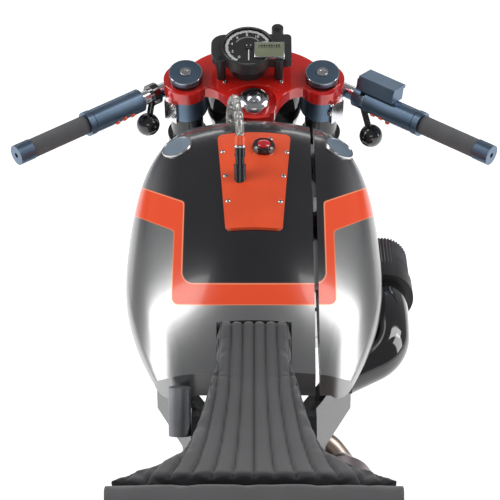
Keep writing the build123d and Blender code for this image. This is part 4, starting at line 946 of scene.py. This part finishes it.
bolts("clip_on_bolts", "clip_on_bars",
      ((173, 107), (174, 116), (331, 104.5), (330, 113.5)), 4.0, 3.0)
bolts("clamp_screws", "top_clamp", ((225, 82), (281, 82)), 3.2, 1.6)
bolts("gauge_bolts", "gauge", ((277, 29.5), (220.5, 58), (280, 58.5)), 4.0, 0.8, "dark_metal")
caps = bmesh.new()
for side in (-1, 1):
    add_bolt(caps, on_bars(side * FORK_X, FORK_OUT, CAP_RECESS_UP), 8.5, 1.8)
make(caps, "fork_cap_screws", "screw_steel", "front_end")

# %% [markdown]
# Three orange buttons stand on each switch block, and a blue-grey insert in a bright
# rim closes each side of the tank. Both follow the slope of what carries them, so
# they are seated by a ray as the screws are.

# %% Orange buttons and blue inserts
BUTTON_PIXELS = ((118, 122.5), (125, 118.5), (132.7, 115.3),
                 (372.6, 115), (380.3, 118.3), (387.5, 122))
INSERT_PIXELS = ((177, 147), (339, 148))
INSERT = ((0, 1.6), (12, 1.5), (21, 1.0), (21, -3), (0, -3))
INSERT_RIM = ((21, 1.0), (21.4, 1.9), (23, 1.9), (23.6, 0.8), (23.6, -4), (21, -4), (21, 1.0))
buttons = bmesh.new()
for place in places_on(skin("switch_blocks"), BUTTON_PIXELS):
    add_round(buttons, 4.3, 2.6, place @ shifted(z=-0.6), 24, 3.7, 0.5)
make(buttons, "switch_buttons", "button_orange", "front_end")
inserts, rims = bmesh.new(), bmesh.new()
for place in places_on(tank_skin, INSERT_PIXELS):
    add_spun(inserts, INSERT, place, 48)
    add_spun(rims, INSERT_RIM, place, 48)
make(inserts, "tank_inserts", "insert_blue", "chassis")
make(rims, "tank_insert_rims", "screw_steel", "chassis")

# %% [markdown]
# The red push button is a smooth dome in a black bezel with twelve flats. A spin of
# only twelve steps cuts the flats by itself, and a low angle for sharp edges keeps
# them crisp.

# %% Push button in its faceted bezel
BUTTON, OVER_PLATE, FLATS = (0.014, 0.268), 1.3, 12
BEZEL = ((0, 5.0), (10.6, 5.0), (11.0, 7.6), (13.4, 8.2), (16.0, 6.6), (17.2, 2.4),
         (17.2, -0.4), (0, -0.4))
DOME = ((0, 10.6), (4, 10.4), (8, 9.6), (9.8, 8.2), (10.2, 4.6), (0, 4.6))
place = seat_on(*plate_skin.ray_cast(Vector((*BUTTON, OVER_PLATE)), DOWN)[:2])
bezel, dome = bmesh.new(), bmesh.new()
add_spun(bezel, BEZEL, place, FLATS)
add_spun(dome, DOME, place, 40)
bezel = make(bezel, "button_bezel", "lamp_gloss", "chassis", 18)
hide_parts("start_button")
make(dome, "button_dome", "button_red", "chassis")

# %% [markdown]
# ## Bars, caps and clamp
# The clip-on clamps are grey-blue while the bars in them are bright, though both
# come from one node. The finish is parted by the distance from the fork's axis.

# %% Two finishes on the clip-ons
CLAMP_REACH = 0.0336
BAR_STEEL, CLAMP_ROUGHER = (0.72, 0.72, 0.74), 0.18
clip, tree, shader = blank_material("clip_on_finish")
x, y, z = object_axes(tree)
aside = calc(tree, "SUBTRACT", calc(tree, "ABSOLUTE", x), FORK_X / PER_METRE)
level = calc(tree, "SUBTRACT", y, STEER_FOOT.y / PER_METRE)
above = calc(tree, "SUBTRACT", z, STEER_FOOT.z / PER_METRE)
ahead = calc(tree, "ADD", calc(tree, "MULTIPLY", level, math.cos(RAKE)),
             calc(tree, "MULTIPLY", above, math.sin(RAKE)))
ahead = calc(tree, "SUBTRACT", ahead, FORK_OUT / PER_METRE)
clamp_mask = calc(tree, "LESS_THAN", distance(tree, aside, ahead), CLAMP_REACH)
grain = place_group(tree, cloudy, Colour=(0.11, 0.165, 0.235, 1), Shade=(0.15, 0.21, 0.29, 1),
                    Scale=22.0, Smooth=0.1, Rough=0.26).outputs
tint = blend_colours(tree, clamp_mask, BAR_STEEL, grain["Colour"])
tree.links.new(tint, shader.inputs["Base Color"])
dull = calc(tree, "MULTIPLY_ADD", clamp_mask, CLAMP_ROUGHER, grain["Roughness"])
tree.links.new(dull, shader.inputs["Roughness"])
shader.inputs["Metallic"].default_value = 1.0
paint("clip_on_bars", clip)
print("clip-ons parted")

# %% [markdown]
# A bright domed cover sits on the stem nut, and thin bright rings edge the fork caps.
# The dial has a dark rim. All are turned parts, so a spun profile is enough.

# %% Stem nut, cap edges and dial rim
NUT = ((0, 9.4), (4, 9.1), (8, 8.2), (10.6, 6.4), (11.4, 4.4), (13, 4.4), (19, 4.0), (22, 2.2),
       (24.4, -2), (24.4, -7.6), (0, -7.6))
CAP_EDGE = ((24.4, 14.2), (24.4, 15.3), (25.2, 15.3), (25.7, 14.7), (25.7, 13.8), (24.4, 14.2))
DIAL_RIM = ((37.2, 0), (37.6, 0.9), (38.4, 1.2), (39.2, 0.9), (39.6, 0), (37.2, 0))
GAUGE_TOP = 46.3
nut = bmesh.new()
add_spun(nut, NUT, on_bars(), 64)
make(nut, "stem_nut_cover", "bright_steel", "front_end")
edges = bmesh.new()
for side in (-1, 1):
    add_spun(edges, CAP_EDGE, on_bars(side * FORK_X, FORK_OUT), 64)
make(edges, "fork_cap_edges", "bright_steel", "front_end")
rim = bmesh.new()
add_spun(rim, DIAL_RIM, on_bars(DIAL_X, DIAL_OUT, GAUGE_TOP), 72)
make(rim, "dial_rim", "dark_metal", "front_end")

# %% [markdown]
# The real clamp has sculpted ridges between its arms. Three slender ribs, bent along
# the pixels where those ridges show, draw them on the flat clamp.

# %% Creases of the clamp
CREASE_R = 0.0011
CREASES = (
    ("left", ((166, 86), (173, 92), (183, 95.5), (195, 91), (207, 87.5), (216, 90), (224, 96))),
    ("right", ((340, 84), (334, 90), (323, 94), (311, 90.5), (299, 87), (291, 89.5), (283, 95))),
    ("middle", ((229, 91), (236, 87.5), (245, 85.3), (254, 84.7), (263, 85.3), (272, 87.5),
                (279, 91))),
)
clamp_skin = skin("top_clamp")
for label, pixels in CREASES:
    run = [seen(clamp_skin, *pixel)[0] for pixel in pixels]
    tube("clamp_crease_" + label, run, CREASE_R, "red_clamp", "front_end")

# %% [markdown]
# ## Braided breather hose
# A braid of bright wires covers the rubber hose. The hose is one smooth line with
# the CAD route's points; the wires wind round that line both ways.

# %% Hose and its braid
HOSE_POINTS = (
    (-0.0200, 0.2197, 0.8832), (-0.0200, 0.2286, 0.9077), (-0.0223, 0.2499, 0.9243),
    (-0.0247, 0.2776, 0.9282), (-0.0280, 0.3145, 0.9190), (-0.0320, 0.3558, 0.8988),
    (-0.0351, 0.3826, 0.8747), (-0.0360, 0.3948, 0.8473), (-0.0360, 0.3980, 0.8014),
    (-0.0360, 0.3980, 0.7554),
)
HOSE_R, BRAID_DEPTH = 0.006, 0.0008
HOSE_ROUNDNESS, HOSE_FINENESS = 5, 16
hose = bent("hose_core", HOSE_POINTS, HOSE_R - BRAID_DEPTH, HOSE_ROUNDNESS, HOSE_FINENESS)
hose.data.materials.append(materials["braid"])
guide = bent("hose_guide", HOSE_POINTS, 0.0, HOSE_ROUNDNESS, HOSE_FINENESS)
path = [v.co.copy() for v in settled_mesh(guide).vertices]
bpy.data.objects.remove(guide)
length = sum((b - a).length for a, b in zip(path, path[1:]))
print("hose", round(length, 4), "m in", len(path), "points")

# %% Wires wound round the line
WIRES, WIRE_PITCH, WIRE_R = 9, 0.034, 0.00062
WIRE_STEP, WEAVE, WAVES = 0.0024, 0.0002, 5


def along(path, travel):
    for a, b in zip(path, path[1:]):
        stretch = (b - a).length
        if travel <= stretch or b is path[-1]:
            return a.lerp(b, min(1.0, travel / stretch)), (b - a).normalized()
        travel -= stretch


wires = bpy.data.curves.new("hose_braid", "CURVE")
wires.dimensions = "3D"
wires.bevel_depth = WIRE_R
wires.bevel_resolution = 0
steps = int(length / WIRE_STEP)
frames = []
for k in range(steps + 1):
    centre, ahead = along(path, length * k / steps)
    side = Vector((1, 0, 0))
    side = (side - ahead * side.dot(ahead)).normalized()
    frames.append((centre, side, ahead.cross(side)))
for wire in range(2 * WIRES):
    way = 1 if wire < WIRES else -1
    run = wires.splines.new("POLY")
    run.points.add(steps)
    for k, (centre, side, over) in enumerate(frames):
        turn = way * 2 * math.pi * length * k / steps / WIRE_PITCH + 2 * math.pi * wire / WIRES
        lift = HOSE_R - WEAVE + way * WEAVE * math.sin(turn * WAVES)
        run.points[k].co = (*(centre + lift * (side * math.cos(turn) + over * math.sin(turn))), 1)
draft = bpy.data.objects.new("hose_braid", wires)
scene.collection.objects.link(draft)
braid_wires = make(form_of(draft), "hose_braid", "braid", "chassis", 80)
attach(hose, "chassis")
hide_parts("breather_hose")

# %% [markdown]
# An orange sleeve grips the hose over its fitting, and a bright ring closes it at the
# foot. Both are spun round the hose's first stretch.

# %% Sleeve and bright ring at the hose's foot
SLEEVE = ((6.3, 4), (7.5, 4.4), (7.7, 11), (7.3, 17.6), (6.3, 18), (6.3, 4))
RING = ((6.3, 0.6), (8.3, 1.0), (8.6, 2.4), (8.3, 3.8), (6.3, 4.2), (6.3, 0.6))
foot, first = Vector(HOSE_POINTS[0]), Vector(HOSE_POINTS[1])
foot_place = seat_on(foot, (first - foot).normalized())
sleeve, ring = bmesh.new(), bmesh.new()
add_spun(sleeve, SLEEVE, foot_place)
add_spun(ring, RING, foot_place)
sleeve = make(sleeve, "hose_sleeve", "button_orange", "chassis")
ring = make(ring, "hose_ring", "bright_steel", "chassis")

# %% [markdown]
# ## Filter, discs and tyres
# The intake filter is a sleeve of folded cloth: a many-sided cylinder with every
# other corner pulled in becomes pleats.

# %% Pleated filter
FILTER_X, FILTER_Z, FILTER_FROM, FILTER_TO, FILTER_R = 192, 662, 216, 300, 38
FOLDS, FOLD_IN = 96, 0.915
pleats = bmesh.new()
bmesh.ops.create_cone(pleats, cap_ends=True, segments=FOLDS, radius1=FILTER_R - 0.4,
                      radius2=FILTER_R - 0.4, depth=FILTER_TO - FILTER_FROM - 1)
for v in pleats.verts:
    count = round(math.atan2(v.co.y, v.co.x) / (2 * math.pi) * FOLDS)
    if count % 2:
        v.co.x *= FOLD_IN
        v.co.y *= FOLD_IN
filter_place = (Matrix.Scale(MM, 4) @ shifted(FILTER_X, (FILTER_FROM + FILTER_TO) / 2, FILTER_Z)
                @ Matrix.Rotation(math.pi / 2, 4, "X"))
bmesh.ops.transform(pleats, matrix=filter_place, verts=pleats.verts)
pleats = make(pleats, "filter_pleats", "filter_mesh", "chassis", 20)
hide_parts("intake_filter")

# %% [markdown]
# Brake discs are drilled in three rows. Holes that small read as black dots, so dark
# rounds lie on both faces of each disc: painted shade in place of the holes.

# %% Drilled discs
FRONT_AXLE, REAR_AXLE = (717.5, 300), (-702.5, 330)
HOLES, HOLE_R, HOLE_SIDES = 30, 2.7, 10
DISC_ROWS = (
    # name, body, axle, radii of the rows, faces
    ("front_disc_holes", "front_wheel", FRONT_AXLE, (132, 141.5, 151),
     (-64.6, -59.4, 59.4, 64.6)),
    ("rear_disc_holes", "rear_wheel", REAR_AXLE, (92, 101.5, 111), (75.4, 80.6)),
)
for name, body, (axle_y, axle_z), radii, faces_at in DISC_ROWS:
    holes = bmesh.new()
    for row, radius in enumerate(radii):
        for k in range(HOLES):
            turn = 2 * math.pi * (k + row / 3) / HOLES
            y, z = axle_y + radius * math.cos(turn), axle_z + radius * math.sin(turn)
            for x in faces_at:
                place = (Matrix.Scale(MM, 4) @ shifted(x, y, z)
                         @ Matrix.Rotation(math.pi / 2, 4, "Y"))
                bmesh.ops.create_circle(holes, cap_ends=True, segments=HOLE_SIDES,
                                        radius=HOLE_R, matrix=place)
    make(holes, name, "painted_recess_shade", body)

# %% [markdown]
# The tyres have slanting grooves that follow the turn round the axle, and a smooth
# strip in the middle. Grooves of a few millimetres need no mesh: the angle round the
# axle and the distance from the middle draw them in the rubber's bump, and darken the
# rubber in them as painted shade.

# %% Grooved tread
GROOVES, SLANT, GROOVE_WIDTH, GROOVE_DEPTH = 18.0, 60.0, 0.16, 0.004
GROOVE_SHADE, SMOOTH_STRIP = (0.004, 0.004, 0.004), 0.008
for name, (axle_y, axle_z), shoulder in (("front_tyre", FRONT_AXLE, 0.052),
                                         ("rear_tyre", REAR_AXLE, 0.080)):
    tread = materials["tyre"].copy()
    tread.name = name + "_tread"
    tree = tread.node_tree
    shader = tree.nodes["Principled BSDF"]
    x, y, z = object_axes(tree)
    turn = calc(tree, "ARCTAN2", calc(tree, "SUBTRACT", z, axle_z / PER_METRE),
                calc(tree, "SUBTRACT", y, axle_y / PER_METRE))
    aside = calc(tree, "ABSOLUTE", x)
    slant = calc(tree, "ADD", calc(tree, "MULTIPLY", turn, GROOVES),
                 calc(tree, "MULTIPLY", aside, SLANT))
    wave = calc(tree, "ABSOLUTE", calc(tree, "SINE", slant))
    groove = calc(tree, "MULTIPLY", calc(tree, "LESS_THAN", wave, GROOVE_WIDTH),
                  calc(tree, "GREATER_THAN", aside, SMOOTH_STRIP))
    groove = calc(tree, "MULTIPLY", groove, calc(tree, "LESS_THAN", aside, shoulder))
    cut = bump(tree, groove, GROOVE_DEPTH)
    cut.invert = True
    tree.links.new(tree.nodes["grain_bump"].outputs[0], cut.inputs["Normal"])
    tree.links.new(cut.outputs[0], shader.inputs["Normal"])
    # Painted shade: the rubber is darkened inside each groove.
    rubber = shader.inputs["Base Color"].links[0].from_socket
    tint = blend_colours(tree, groove, rubber, GROOVE_SHADE)
    tree.links.new(tint, shader.inputs["Base Color"])
    paint(name, tread)
print("tread cut")
